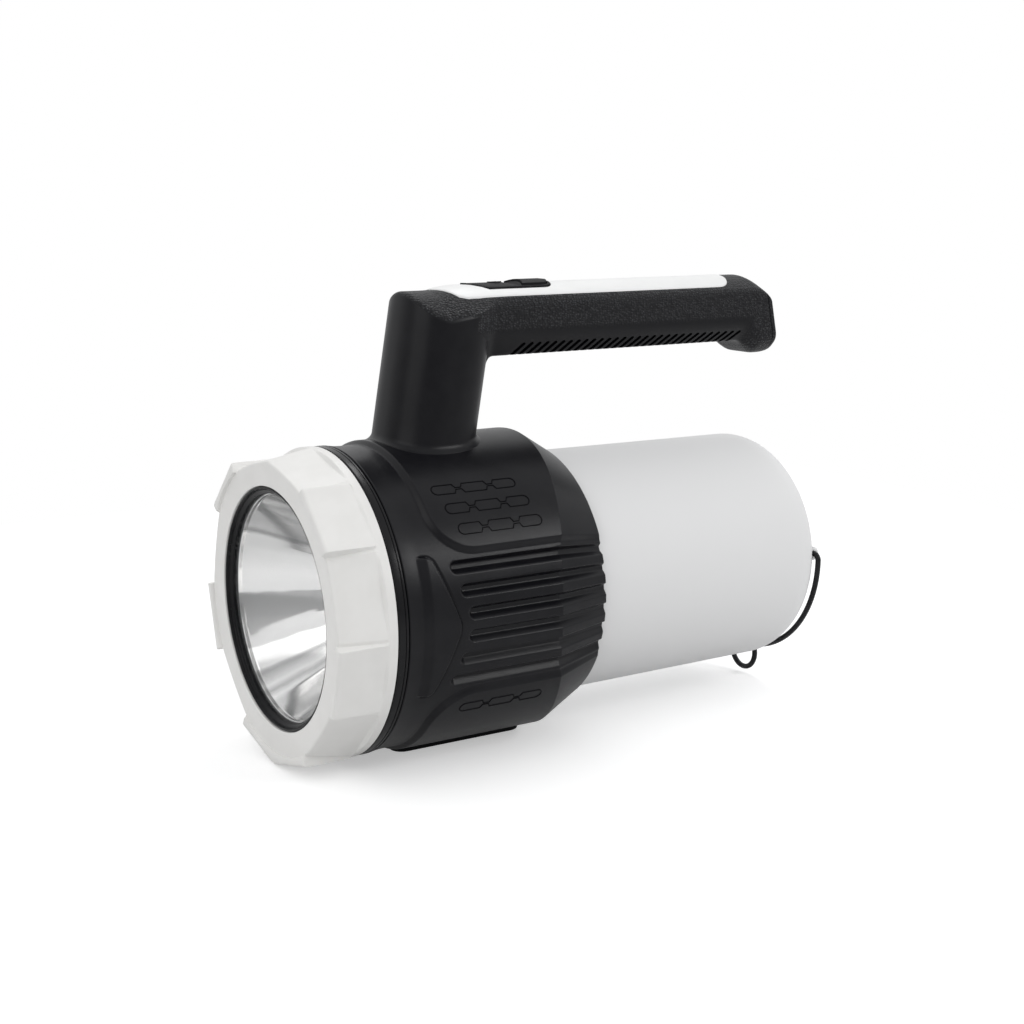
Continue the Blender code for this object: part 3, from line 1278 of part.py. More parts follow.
def lantern():
    base_front = SHELF_REAR + SEAT_GAP
    base_back = base_front + LANTERN_BASE_THICKNESS
    base_r = DIFFUSER_FRONT_R
    plate = revolve("lantern_base", [(base_front, 0), (base_front, base_r), (base_back, base_r), (base_back, 0)],
                    "white", 48)
    for index in range(SCREW_COUNT):
        cut(plate, base_screw("hole", index, SEAT_GAP))
        base_screw("base_screw_" + str(index + 1), index, 0)
    board_front = base_back + SEAT_GAP
    board_back = board_front + BOARD_THICKNESS
    board_r = base_r - LANTERN_BOARD_MARGIN
    board = revolve("lantern_board", [(board_front, 0), (board_front, board_r),
                                      (board_back, board_r), (board_back, 0)], "board_white", 40)
    half = LANTERN_LED_SIDE / 2
    ring = board_r - LANTERN_LED_MARGIN
    for index in range(LANTERN_LED_COUNT):
        turn = 2 * math.pi * index / LANTERN_LED_COUNT
        x = ring * math.sin(turn)
        z = ring * math.cos(turn)
        join(board, box("led", (x - half, x + half), (board_back - BOARD_THICKNESS / 2, board_back + LANTERN_LED_HEIGHT),
                        (z - half, z + half)))
    profile = diffuser_profile(0) + list(reversed(diffuser_profile(DIFFUSER_WALL)))
    diffuser = revolve("diffuser", profile, "milky", 60)
    for side in (1, -1):
        boss = rod("boss", (side * BOSS_INNER_X, BAIL_STATION, BAIL_PIVOT_HEIGHT),
                   (side * BOSS_OUTER_X, BAIL_STATION, BAIL_PIVOT_HEIGHT), BOSS_R, "milky")
        join(diffuser, boss)
        cut(diffuser, rod("bore", (side * (BAIL_STUB_REACH - SEAT_GAP), BAIL_STATION, BAIL_PIVOT_HEIGHT),
                          (side * (BOSS_OUTER_X + OVERRUN), BAIL_STATION, BAIL_PIVOT_HEIGHT), WIRE_R + RUN_GAP))


def bail_route():
    """Centre line of the bail's right half: pivot stub, elbow, big arc, neck, and the small dip in the middle."""
    corner_x = BAIL_R - BAIL_ELBOW_R
    route = [(BAIL_STUB_REACH, BAIL_PIVOT_HEIGHT), (mix(BAIL_STUB_REACH, corner_x, 0.5), BAIL_PIVOT_HEIGHT)]
    for t in spread(math.pi / 2, 0, 5):
        route.append((corner_x + BAIL_ELBOW_R * math.cos(t), BAIL_PIVOT_HEIGHT - BAIL_ELBOW_R * (1 - math.sin(t))))
    outer = BAIL_R + BAIL_NECK_R
    reach = BAIL_DIP_R + BAIL_NECK_R
    neck_z = -(outer ** 2 - reach ** 2 + BAIL_DIP_DROP ** 2) / (2 * BAIL_DIP_DROP)
    neck_x = math.sqrt(outer ** 2 - neck_z ** 2)
    last = math.atan2(neck_x, -neck_z)
    for t in spread(math.pi / 2, last, 18)[1:]:
        route.append((BAIL_R * math.sin(t), -BAIL_R * math.cos(t)))
    neck_end = math.atan2(neck_z + BAIL_DIP_DROP, neck_x)
    start = math.atan2(-neck_z, -neck_x)
    finish = math.pi + neck_end
    for t in spread(start, finish, 6)[1:]:
        route.append((neck_x + BAIL_NECK_R * math.cos(t), neck_z + BAIL_NECK_R * math.sin(t)))
    for t in spread(neck_end, -math.pi / 2, 8)[1:]:
        route.append((BAIL_DIP_R * math.cos(t), -BAIL_DIP_DROP + BAIL_DIP_R * math.sin(t)))
    return route


def tube(name, points, radius, finish, side, sides=8):
    """A round wire swept along a flat route; side is the direction square to the route's plane."""
    bm = bmesh.new()
    rings = []
    for i, point in enumerate(points):
        before = points[max(i - 1, 0)]
        after = points[min(i + 1, len(points) - 1)]
        along = (after - before).normalized()
        up = along.cross(side)
        turns = [2 * math.pi * k / sides for k in range(sides)]
        rings.append([bm.verts.new(point + (side * math.cos(t) + up * math.sin(t)) * radius) for t in turns])
    bridge(bm, rings, False)
    bm.faces.new(rings[0])
    bm.faces.new(rings[-1])
    return make(name, bm, finish)


def hanging_bail():
    right = bail_route()
    route = right + [(-x, z) for x, z in reversed(right[:-1])]
    points = [place(x, BAIL_STATION, z) for x, z in route]
    bail = tube("hanging_bail", points, WIRE_R, "wire", Vector((0, 1, 0)))
    set_origin(bail, place(0, BAIL_STATION, BAIL_PIVOT_HEIGHT))


def foot_plan(name, grow, low, high):
    """A slab with the foot's rounded rectangle as its plan."""
    radius = FOOT_CORNER_R + grow
    middle_x = FOOT_HALF_WIDTH - FOOT_CORNER_R
    sections = []
    for z in (low, high):
        section = []
        for centre, side in ((FOOT_REAR - FOOT_CORNER_R, 1), (FOOT_FRONT + FOOT_CORNER_R, -1)):
            for t in spread(0, math.pi, 10):
                x = side * radius * math.cos(t)
                x += math.copysign(middle_x, x)
                section.append(place(x, centre + side * radius * math.sin(t), z))
        sections.append(section)
    return loft(name, sections, "rubber")


def foot_pad():
    """The rubber foot in the belly's pocket, level with the lowest edge of the bezel."""
    return foot_plan("foot_pad", 0, -REST_HEIGHT, -REST_HEIGHT + FOOT_THICKNESS)


def clear_scene():
    for obj in list(bpy.data.objects):
        bpy.data.objects.remove(obj)


def build():
    clear_scene()
    front_bezel()
    collar_ring()
    housing()
    grip_shell()
    handle_strip()
    switch_parts()
    optics()
    spot_light()
    power_pack()
    lantern()
    hanging_bail()
    charging_port()
    charging_electronics()
    foot_pad()


build()
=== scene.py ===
# %% [markdown]
# # A hand-held camping light
# The object is a lamp of two halves: a spotlight in a white, many-sided bezel looks forward, and a milky
# lantern dome shines behind. A ribbed black housing joins them and carries a leaning post with a grip.
# The solids were already made and packed. This file dresses them: fine outer shapes, finishes, light.

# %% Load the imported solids
import math

import bmesh
import bpy
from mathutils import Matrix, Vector


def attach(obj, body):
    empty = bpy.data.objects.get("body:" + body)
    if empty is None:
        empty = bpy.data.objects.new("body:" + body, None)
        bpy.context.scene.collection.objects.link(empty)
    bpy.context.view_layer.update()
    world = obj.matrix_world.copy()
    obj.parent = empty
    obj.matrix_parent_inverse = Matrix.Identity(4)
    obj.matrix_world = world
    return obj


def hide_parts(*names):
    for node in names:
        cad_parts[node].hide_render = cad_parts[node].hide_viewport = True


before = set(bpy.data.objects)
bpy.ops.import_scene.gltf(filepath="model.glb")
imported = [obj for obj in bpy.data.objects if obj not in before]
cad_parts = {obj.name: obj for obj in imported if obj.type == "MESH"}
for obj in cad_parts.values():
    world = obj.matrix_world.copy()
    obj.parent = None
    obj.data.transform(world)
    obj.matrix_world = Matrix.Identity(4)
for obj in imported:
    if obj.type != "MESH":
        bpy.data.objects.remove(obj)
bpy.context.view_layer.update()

# %% [markdown]
# ## One way to say where things are
# Every size of this lamp is easiest to give along its axis, as a station behind the lens opening, and round
# its axis, as an angle counted from the top. Two helpers turn such numbers into scene coordinates, so the
# rest of the file can talk like a drawing. The alternative, typing scene coordinates, hides the drawing.
# The axis lies as high as the corners of the bezel's lugs would reach if they were sharp.

# %% Lamp coordinates
MM = 0.001
SIDES = 12
LUG_FLAT_R = 58.2 * MM
ORIGIN_STATION = 113.85 * MM
REST_HEIGHT = LUG_FLAT_R / math.cos(math.pi / SIDES)


def place(x, station, z):
    return Vector((x, station - ORIGIN_STATION, z + REST_HEIGHT))


def around(angle, station, radius):
    return place(radius * math.sin(angle), station, radius * math.cos(angle))


print("the axis is", round(REST_HEIGHT / MM, 2), "mm above the table")

# %% [markdown]
# Most shapes below are blends: between two sizes, along a run, or over a soft step. A few small helpers
# name these, so a rule can be read as a sentence.

# %% Blends
def mix(a, b, share):
    """The value that lies a share of the way from a to b."""
    return a + (b - a) * share


def ramp(value, run):
    """Rises evenly from 0 to 1 while the value goes from 0 to run, and stays there."""
    return min(max(value / run, 0.0), 1.0)


def spread(start, end, count):
    """A row of values at even distances, with both ends."""
    return [mix(start, end, i / (count - 1)) for i in range(count)]


def eased(value, run, soft=0.35):
    """A ramp whose foot and shoulder are rounded, like the edge of a moulded step."""
    t = ramp(value, run)
    if t < soft:
        return t * t / (2 * soft * (1 - soft))
    if t > 1 - soft:
        return 1 - (1 - t) ** 2 / (2 * soft * (1 - soft))
    return (t - soft / 2) / (1 - soft)


def quarter_arc(value, run):
    """1 at the start of a run and 0 at its end, along a quarter of a circle that ends flat."""
    return 1 - math.sqrt(1 - (1 - ramp(value, run)) ** 2)


def smooth_max(a, b, soft):
    """The larger of two values, rounded where they come closer to each other than soft."""
    near = max(soft - abs(a - b), 0) / soft
    return max(a, b) + near * near * soft / 4


print("half way up a soft step:", eased(0.5, 1.0), "and along an arc:", round(quarter_arc(0.5, 1.0), 3))

# %% [markdown]
# ## Camera
# The camera's place was worked out from the photograph: the lens opening and the body's rings are circles in
# reality, so the ellipses they make fix where the camera stood and how long its lens was.

# %% Camera
AZIMUTH = 1.01214
ELEVATION = 0.198021
CAMERA_SPOT = (0.55462, -0.35565, 0.21719)
LENS_LENGTH = 58.604
camera_data = bpy.data.cameras.new("photo_camera")
camera_data.sensor_width = 36.0
camera_data.lens = LENS_LENGTH
camera = bpy.data.objects.new("photo_camera", camera_data)
camera.location = CAMERA_SPOT
camera.rotation_euler = (math.pi / 2 - ELEVATION, 0.0, AZIMUTH)
bpy.context.collection.objects.link(camera)
bpy.context.scene.camera = camera
bpy.context.scene.view_settings.view_transform = "Standard"
print("camera", tuple(round(v, 3) for v in camera.location))

# %% [markdown]
# ## Helpers for node trees
# The light, the finishes and the repeated shapes are all node trees. Placing a node, setting its values and
# linking its sockets is the same work each time. With helpers for it, a tree reads almost like a formula.

# %% Node helpers
def feed(tree, socket, value):
    """Links a socket to another one, or sets it to a plain value."""
    if isinstance(value, bpy.types.NodeSocket):
        tree.links.new(value, socket)
    else:
        socket.default_value = value


def node(tree, kind, settings=None, in_order=(), **by_name):
    """A new node with its settings, its first sockets in order, and others by name, with _ for a space."""
    made = tree.nodes.new(kind)
    for name, value in (settings or {}).items():
        setattr(made, name, value)
    for socket, value in zip(made.inputs, in_order):
        feed(tree, socket, value)
    for name, value in by_name.items():
        feed(tree, made.inputs[name.replace("_", " ")], value)
    return made


def math_node(tree, operation, a, b=0.0):
    """The result of a Math node; a and b are numbers or sockets."""
    return node(tree, "ShaderNodeMath", {"operation": operation}, (a, b)).outputs[0]


def new_finish(name, roughness, metallic=0.0, specular=0.5):
    made = bpy.data.materials.new(name)
    made.use_nodes = True
    shader = made.node_tree.nodes["Principled BSDF"]
    shader.inputs["Roughness"].default_value = roughness
    shader.inputs["Metallic"].default_value = metallic
    shader.inputs["Specular IOR Level"].default_value = specular
    return made, made.node_tree, shader


print("node helpers ready")

# %% [markdown]
# ## Studio light
# Product photographs like this one are shot in a white tent that is lit from above and behind. A world whose
# brightness changes smoothly with direction gives the tent: brightest overhead, dimmer on the camera's
# side. That is what draws the dark body: slopes that look up shine, and faces that look at the camera stay
# dark. The camera, and what passes through the lens, see a pure white backdrop, which doesn't make the
# object brighter. Reflections see it too, in part, so that the mirror bowl shows the white and the tent.

# %% World
TENT_UP = (-0.3, 0.35, 0.89)
TENT_REACH = (-0.6, 0.9)
TENT_LEVELS = (0.16, 0.92)
TENT_COLOUR = (0.985, 0.99, 1, 1)
BACKDROP_IN_GLOSS = 0.25


def backdrop_share(tree):
    """1 for the camera and for what the lens lets through, a part for reflections, 0 for light on things."""
    ray = node(tree, "ShaderNodeLightPath")
    in_gloss = math_node(tree, "MULTIPLY", ray.outputs["Is Glossy Ray"], BACKDROP_IN_GLOSS)
    through = math_node(tree, "MAXIMUM", ray.outputs["Is Transmission Ray"], in_gloss)
    return math_node(tree, "MAXIMUM", ray.outputs["Is Camera Ray"], through)


world = bpy.data.worlds.new("white_tent")
world.use_nodes = True
bpy.context.scene.world = world
tent = world.node_tree
tent.nodes.clear()
looking = node(tent, "ShaderNodeTexCoord").outputs["Generated"]
towards = node(tent, "ShaderNodeVectorMath", {"operation": "DOT_PRODUCT"}, (looking, TENT_UP))
level = node(tent, "ShaderNodeMapRange", Value=towards.outputs["Value"], From_Min=TENT_REACH[0],
             From_Max=TENT_REACH[1], To_Min=TENT_LEVELS[0], To_Max=TENT_LEVELS[1])
lighting = node(tent, "ShaderNodeBackground", Color=TENT_COLOUR, Strength=level.outputs["Result"])
backdrop = node(tent, "ShaderNodeBackground", Color=(1, 1, 1, 1), Strength=1.0)
seen = (backdrop_share(tent), lighting.outputs[0], backdrop.outputs[0])
blend = node(tent, "ShaderNodeMixShader", None, seen)
node(tent, "ShaderNodeOutputWorld", Surface=blend.outputs[0])
print("tent levels", TENT_LEVELS)

# %% [markdown]
# Three square softboxes join the tent. The front one is large, because the mirror bowl shows it: a small
# lamp of the same power would appear there as a hard white spot.

# %% Lamps
def soft_lamp(name, spot, target, side, watts):
    data = bpy.data.lights.new(name, "AREA")
    data.size = side
    data.energy = watts
    lamp = bpy.data.objects.new(name, data)
    lamp.location = spot
    lamp.rotation_euler = (Vector(target) - Vector(spot)).to_track_quat("-Z", "Y").to_euler()
    bpy.context.collection.objects.link(lamp)


soft_lamp("top_softbox", (-0.4, 0.3, 0.95), (0, 0, 0.08), 0.28, 1.2)
soft_lamp("front_softbox", (0.35, -1.0, 0.65), (0, 0, 0.08), 1.1, 3.9)
soft_lamp("side_softbox", (0.85, 0.65, 0.7), (0, 0.02, 0.08), 0.35, 3.3)

# %% [markdown]
# ## Floor
# The light stands on a plain pale sheet. Its material is ordinary matt grey-white, and it adds a glow for
# the camera, and a part of it for what the mirror bowl and the lens show. That lifts the sheet to the white
# of the background while the contact shadow stays, and throws no more light at the object from below.

# %% Floor
FLOOR_LIFT = 0.42
FLOOR_REACH = 0.5
FLOOR_GAP = 0.3 * MM
sheet, tree, paper = new_finish("floor_sheet", 0.9, 0.0, 0.0)
paper.inputs["Base Color"].default_value = (0.78, 0.78, 0.78, 1)
lift = math_node(tree, "MULTIPLY", backdrop_share(tree), FLOOR_LIFT)
glow = node(tree, "ShaderNodeEmission", Strength=lift)
added = node(tree, "ShaderNodeAddShader", None, (paper.outputs[0], glow.outputs[0]))
feed(tree, tree.nodes["Material Output"].inputs["Surface"], added.outputs[0])
floor_mesh = bpy.data.meshes.new("floor")
floor_corners = [(x * FLOOR_REACH, y * FLOOR_REACH, 0) for x, y in ((-1, -1), (1, -1), (1, 1), (-1, 1))]
floor_mesh.from_pydata(floor_corners, [], [(0, 1, 2, 3)])
floor_mesh.materials.append(sheet)
floor = bpy.data.objects.new("floor", floor_mesh)
floor.location.z = -FLOOR_GAP
bpy.context.collection.objects.link(floor)
print("floor", FLOOR_REACH * 2, "m wide")

# %% [markdown]
# ## Finishes
# Moulded plastic is never one flat colour: the pigment clouds a little, gloss changes from place to place,
# and the mould leaves a fine grain. One recipe makes all three from noise in object coordinates, so the
# pattern has its true size in millimetres and stays put when the object moves.

# %% Recipe for moulded plastic
def object_noise(tree, size, detail=2.0, stretch=(1, 1, 1)):
    """Noise whose cells are about size metres, read in object coordinates."""
    where = node(tree, "ShaderNodeTexCoord").outputs["Object"]
    spaced = node(tree, "ShaderNodeMapping", Vector=where, Scale=stretch).outputs["Vector"]
    return node(tree, "ShaderNodeTexNoise", Vector=spaced, Scale=1.0 / size, Detail=detail).outputs["Fac"]


def tinted(tree, shader, factor, dark, light, low=0.35, high=0.65):
    """Base colour from a factor: dark up to low, light from high on, blended between."""
    tones = node(tree, "ShaderNodeValToRGB", Fac=factor)
    for stop, spot, colour in zip(tones.color_ramp.elements, (low, high), (dark, light)):
        stop.position = spot
        stop.color = (*colour, 1)
    feed(tree, shader.inputs["Base Color"], tones.outputs["Color"])


def ranged(tree, factor, low, high, start=0.0, end=1.0):
    """Spreads the stretch of a factor from start to end over low to high."""
    return node(tree, "ShaderNodeMapRange", Value=factor, From_Min=start, From_Max=end, To_Min=low,
                To_Max=high).outputs["Result"]


def glossed(tree, shader, cloud, gloss):
    """Gloss that changes from place to place between two roughnesses."""
    feed(tree, shader.inputs["Roughness"], ranged(tree, cloud, *gloss))


def raised(tree, shader, height, distance):
    bump = node(tree, "ShaderNodeBump", Height=height, Distance=distance, Strength=1.0)
    feed(tree, shader.inputs["Normal"], bump.outputs["Normal"])


def moulded(name, dark, light, gloss, grain, depth, specular=0.5, cloud=9 * MM):
    """Moulded plastic: clouded pigment, uneven gloss and a fine grain of the given size and depth."""
    made, tree, shader = new_finish(name, sum(gloss) / 2, 0.0, specular)
    tinted(tree, shader, object_noise(tree, cloud), dark, light)
    glossed(tree, shader, object_noise(tree, cloud / 2), gloss)
    raised(tree, shader, object_noise(tree, grain, 3.0), depth)
    return made


print("one recipe for all moulded pieces")

# %% [markdown]
# Each finish below gives its darkest and lightest pigment, its range of roughness, the size and depth of its
# grain, and how strongly it shines. The blacks shine weakly, because a matt black moulding shows the white
# room around it only faintly.

# %% Plastic and rubber finishes
bezel_white = moulded("bezel_white", (0.800, 0.793, 0.772), (0.825, 0.818, 0.798), (0.38, 0.46),
                      0.5 * MM, 0.012 * MM, 0.4)
strip_white = moulded("strip_white", (0.815, 0.818, 0.812), (0.84, 0.842, 0.836), (0.32, 0.4),
                      0.5 * MM, 0.01 * MM, 0.4)
housing_black = moulded("housing_black", (0.0042, 0.0042, 0.0058), (0.0065, 0.0065, 0.0082), (0.3, 0.36),
                        0.35 * MM, 0.025 * MM, 0.2)
collar_black = moulded("collar_black", (0.005, 0.005, 0.006), (0.007, 0.007, 0.008), (0.2, 0.28),
                       0.5 * MM, 0.01 * MM, 0.2)
soft_rubber = moulded("soft_rubber", (0.006, 0.006, 0.007), (0.009, 0.009, 0.010), (0.5, 0.62),
                      0.25 * MM, 0.03 * MM, 0.12)
gasket_rubber = moulded("gasket_rubber", (0.004, 0.004, 0.005), (0.007, 0.007, 0.008), (0.22, 0.3),
                        0.4 * MM, 0.012 * MM, 0.16)
# Painted shade: a darker, duller black than the body for the engraved lines, standing in for the shade
# inside thin grooves.
groove_shade_black = moulded("groove_shade_black", (0.002, 0.002, 0.003), (0.004, 0.004, 0.005), (0.5, 0.6),
                     0.3 * MM, 0.01 * MM, 0.05)
wire_black = moulded("wire_black", (0.008, 0.008, 0.009), (0.013, 0.013, 0.015), (0.3, 0.42),
                     0.3 * MM, 0.02 * MM, 0.2)
inner_black = moulded("inner_black", (0.02, 0.02, 0.021), (0.03, 0.03, 0.031), (0.5, 0.6),
                      0.5 * MM, 0.02 * MM)
print("materials so far:", len(bpy.data.materials))

# %% [markdown]
# The grip has a moulded leather grain that keeps a wet hand from slipping: small raised cells with fine
# valleys between them. A Voronoi texture is made of just such cells. It is stretched a little along the
# grip and fades out on the smooth lower slope where the slots are, except at the grip's hooked end. The cell
# tops are also painted lighter than the valleys: a painted highlight on the grain.

# %% Grip finish
GRAIN = 0.88 * MM
GRAIN_ABOVE = (98.6 * MM, 100.6 * MM)
GRAIN_BEHIND = (210 * MM, 216 * MM)


def grip_finish():
    made, tree, shader = new_finish("grip_texture", 0.45, 0.0, 0.2)
    where = node(tree, "ShaderNodeTexCoord").outputs["Object"]
    parts = node(tree, "ShaderNodeSeparateXYZ", Vector=where)
    spaced = node(tree, "ShaderNodeMapping", Vector=where, Scale=(1.15, 0.75, 1.15)).outputs["Vector"]
    cells = node(tree, "ShaderNodeTexVoronoi", Vector=spaced, Scale=1 / GRAIN, Randomness=0.65)
    tops = math_node(tree, "SUBTRACT", 0.75, cells.outputs["Distance"])
    above = ranged(tree, parts.outputs["Z"], 0, 1, *(z + REST_HEIGHT for z in GRAIN_ABOVE))
    behind = ranged(tree, parts.outputs["Y"], 0, 1, *(s - ORIGIN_STATION for s in GRAIN_BEHIND))
    height = math_node(tree, "MULTIPLY", tops, math_node(tree, "MAXIMUM", above, behind))
    # Painted highlight: the raised cell tops get a much lighter base colour than the valleys.
    tinted(tree, shader, height, (0.005, 0.005, 0.0065), (0.045, 0.047, 0.051), 0.3, 0.66)
    raised(tree, shader, height, 0.34 * MM)
    glossed(tree, shader, object_noise(tree, 4 * MM), (0.38, 0.46))
    return made


grip_texture = grip_finish()
print("grain of", GRAIN / MM, "mm")

# %% [markdown]
# The reflector is plastic with a bright metal film. In a photograph each panel shows a stretched piece of
# the room, so its look changes round the axis and hardly from mouth to throat. That painted reflection is
# put into the film's colour: a colour ramp over the angle gives bands of brighter and darker painted
# reflection, some with crisp edges. Each pair below is a share of the turn, counted from the bottom, and the
# grey of the painted reflection at that place; in between the greys blend.

# %% Mirror film with painted reflections
PAINTED_REFLECTION_TONES = [
    (0.0, 0.85), (0.05, 0.7), (0.062, 0.95), (0.075, 0.5), (0.085, 0.92), (0.105, 0.5), (0.112, 0.33),
    (0.116, 0.9), (0.13, 0.76), (0.152, 0.88), (0.156, 0.5), (0.19, 0.56), (0.234, 0.4), (0.238, 0.88),
    (0.27, 0.95), (0.3, 0.86), (0.334, 0.9), (0.338, 0.28), (0.345, 0.4), (0.349, 0.6), (0.37, 0.5),
    (0.395, 0.56), (0.4, 0.9), (0.438, 0.45), (0.445, 0.9), (0.5, 0.6), (0.53, 0.88), (0.62, 0.6),
    (0.64, 0.9), (0.75, 0.5), (0.76, 0.88), (1.0, 0.85)]


def mirror_finish_with_painted_reflections():
    made, tree, shader = new_finish("mirror_film_and_painted_reflections", 0.13, 1.0)
    parts = node(tree, "ShaderNodeSeparateXYZ", Vector=node(tree, "ShaderNodeTexCoord").outputs["Object"])
    height = math_node(tree, "SUBTRACT", parts.outputs["Z"], REST_HEIGHT)
    angle = math_node(tree, "ARCTAN2", parts.outputs["X"], height)
    ripple = ranged(tree, object_noise(tree, 14 * MM, 1.0), -0.006, 0.006)
    share = math_node(tree, "ADD", math_node(tree, "DIVIDE", angle, 2 * math.pi), 0.5)
    # Painted reflection: the film's base colour changes in bands with the angle round the axis.
    tones = node(tree, "ShaderNodeValToRGB", Fac=math_node(tree, "ADD", share, ripple))
    bar = tones.color_ramp
    bar.elements[0].position, bar.elements[1].position = PAINTED_REFLECTION_TONES[0][0], PAINTED_REFLECTION_TONES[-1][0]
    for spot, _ in PAINTED_REFLECTION_TONES[1:-1]:
        bar.elements.new(spot)
    for stop, (_, grey) in zip(bar.elements, PAINTED_REFLECTION_TONES):
        stop.color = (grey, grey * 0.995, grey * 0.985, 1)
    feed(tree, shader.inputs["Base Color"], tones.outputs["Color"])
    glossed(tree, shader, object_noise(tree, 5 * MM), (0.1, 0.16))
    return made


mirror_film_and_painted_reflections = mirror_finish_with_painted_reflections()
print("mirror film with", len(PAINTED_REFLECTION_TONES), "tones")

# %% [markdown]
# The lens is clear plastic. A surface with low opacity and a sharp shine is enough for it: nothing bends
# visibly behind so thin a sheet, and it stays cheap and exports well. The lantern dome is milky plastic, in
# which light scatters before it comes out, so it gets some scattering under its surface.

# %% Clear and milky plastic
def clear_finish():
    made, tree, shader = new_finish("lens_clear", 0.05)
    shader.inputs["Alpha"].default_value = 0.1
    tinted(tree, shader, object_noise(tree, 20 * MM), (0.9, 0.92, 0.93), (0.96, 0.97, 0.98))
    glossed(tree, shader, object_noise(tree, 8 * MM), (0.03, 0.07))
    return made


def milky_finish():
    made, tree, shader = new_finish("dome_milky", 0.4, 0.0, 0.4)
    shader.inputs["Subsurface Weight"].default_value = 0.6
    shader.inputs["Subsurface Scale"].default_value = 9 * MM
    shader.inputs["Subsurface Radius"].default_value = (1.0, 1.0, 1.0)
    tinted(tree, shader, object_noise(tree, 14 * MM), (0.9, 0.902, 0.903), (0.915, 0.917, 0.918))
    glossed(tree, shader, object_noise(tree, 6 * MM), (0.36, 0.44))
    raised(tree, shader, object_noise(tree, 1.5 * MM), 0.01 * MM)
    return made


lens_clear = clear_finish()
dome_milky = milky_finish()
print("lens and dome finishes ready")

# %% [markdown]
# Inside are metals, circuit boards and cells. Turned metal shows fine rings, boards show woven glass under
# green lacquer, and shrink wrap is nearly even. They are hardly seen, but a part is also looked at apart.

# %% Finishes of the inner pieces
def metal(name, dark, light, gloss, stretch=(1, 1, 1)):
    made, tree, shader = new_finish(name, sum(gloss) / 2, 1.0)
    tinted(tree, shader, object_noise(tree, 3 * MM, 3.0, stretch), dark, light)
    glossed(tree, shader, object_noise(tree, 1 * MM, 2.0, stretch), gloss)
    raised(tree, shader, object_noise(tree, 0.4 * MM, 2.0, stretch), 0.004 * MM)
    return made


turned_aluminium = metal("turned_aluminium", (0.66, 0.67, 0.69), (0.74, 0.75, 0.77), (0.28, 0.4), (1, 12, 1))
bright_steel = metal("bright_steel", (0.5, 0.51, 0.53), (0.6, 0.61, 0.63), (0.22, 0.34))
board_green = moulded("board_green", (0.015, 0.13, 0.06), (0.025, 0.18, 0.08), (0.35, 0.5),
                      0.6 * MM, 0.02 * MM)
board_white = moulded("board_white_lacquer", (0.76, 0.76, 0.74), (0.82, 0.82, 0.8), (0.35, 0.5),
                      0.6 * MM, 0.01 * MM)
phosphor_yellow = moulded("phosphor_yellow", (0.78, 0.6, 0.12), (0.86, 0.7, 0.2), (0.3, 0.4),
                          0.4 * MM, 0.01 * MM)
cell_blue = moulded("cell_blue", (0.03, 0.09, 0.3), (0.045, 0.12, 0.36), (0.25, 0.35), 2 * MM, 0.01 * MM)
print("materials:", len(bpy.data.materials))

# %% [markdown]
# ## Mesh helpers
# Most outer shapes here are skins over rings of points. A ring joins the next with quads, and the finished
# mesh gets its doubles merged, its faces turned outwards and its shading smoothed except at real edges.

# %% Skins over rings
def skin(bm, rings, closed=False):
    """Faces between each ring of points and the next; closed joins the last ring to the first."""
    rows = [[bm.verts.new(point) for point in ring] for ring in rings]
    pairs = list(zip(rows, rows[1:]))
    if closed:
        pairs.append((rows[-1], rows[0]))
    for low, high in pairs:
        for i in range(len(low)):
            j = (i + 1) % len(low)
            bm.faces.new((low[i], low[j], high[j], high[i]))
    return rows


def capped_skin(bm, rings):
    """A skin over rings with a flat face at each end."""
    rows = skin(bm, rings)
    bm.faces.new(rows[0])
    bm.faces.new(rows[-1])


def finished(name, bm, finish, sharp=40):
    """An object from a bmesh; edges that bend by more than sharp degrees stay crisp."""
    bmesh.ops.remove_doubles(bm, verts=bm.verts, dist=0.002 * MM)
    bmesh.ops.recalc_face_normals(bm, faces=bm.faces)
    mesh = bpy.data.meshes.new(name)
    bm.to_mesh(mesh)
    bm.free()
    mesh.shade_smooth()
    mesh.set_sharp_from_angle(angle=math.radians(sharp))
    mesh.materials.append(finish)
    made = bpy.data.objects.new(name, mesh)
    bpy.context.collection.objects.link(made)
    return made


def report(made):
    print(made.name, len(made.data.polygons), "faces")
    return made


print("skins ready")

# %% [markdown]
# Bezel, collar, lens and housing all go round the lamp's axis. For these an outline of stations and radii is
# drawn at each angle, the same everywhere on a turned piece, and small rounds are put where two lines meet.

# %% Shapes round the axis
def wrapped(name, angles, profile_at, finish, sharp=40):
    """A closed ring: for each angle, a closed outline of (station, radius) points."""
    bm = bmesh.new()
    skin(bm, [[around(a, s, r) for s, r in profile_at(abs(a))] for a in angles], True)
    return finished(name, bm, finish, sharp)


def even_turn(count):
    return [2 * math.pi * i / count for i in range(count)]


def turned(name, profile, finish, segments=144, sharp=40):
    """A closed outline turned round the lamp axis; points on the axis close the ends."""
    return wrapped(name, even_turn(segments), lambda a: profile, finish, sharp)


def bend(start, corner, end, steps=4):
    """Points of a small round between two lines that would meet at a corner."""
    points = []
    for t in spread(0, 1, steps + 1):
        points.append(tuple(mix(mix(a, c, t), mix(c, b, t), t) for a, c, b in zip(start, corner, end)))
    return points


def in_mm(*points):
    return [tuple(v * MM for v in point) for point in points]


def both_sides(half):
    """Angles of a whole turn from those of one half, so left and right mirror each other."""
    half = sorted(half)
    return half + [-a for a in reversed(half) if 1e-6 < a < math.pi - 1e-6]


print("a round of", len(bend((0, 0), (1, 0), (1, 1))), "points")

# %% [markdown]
# Wires and raised lines are round tubes along a line of points.

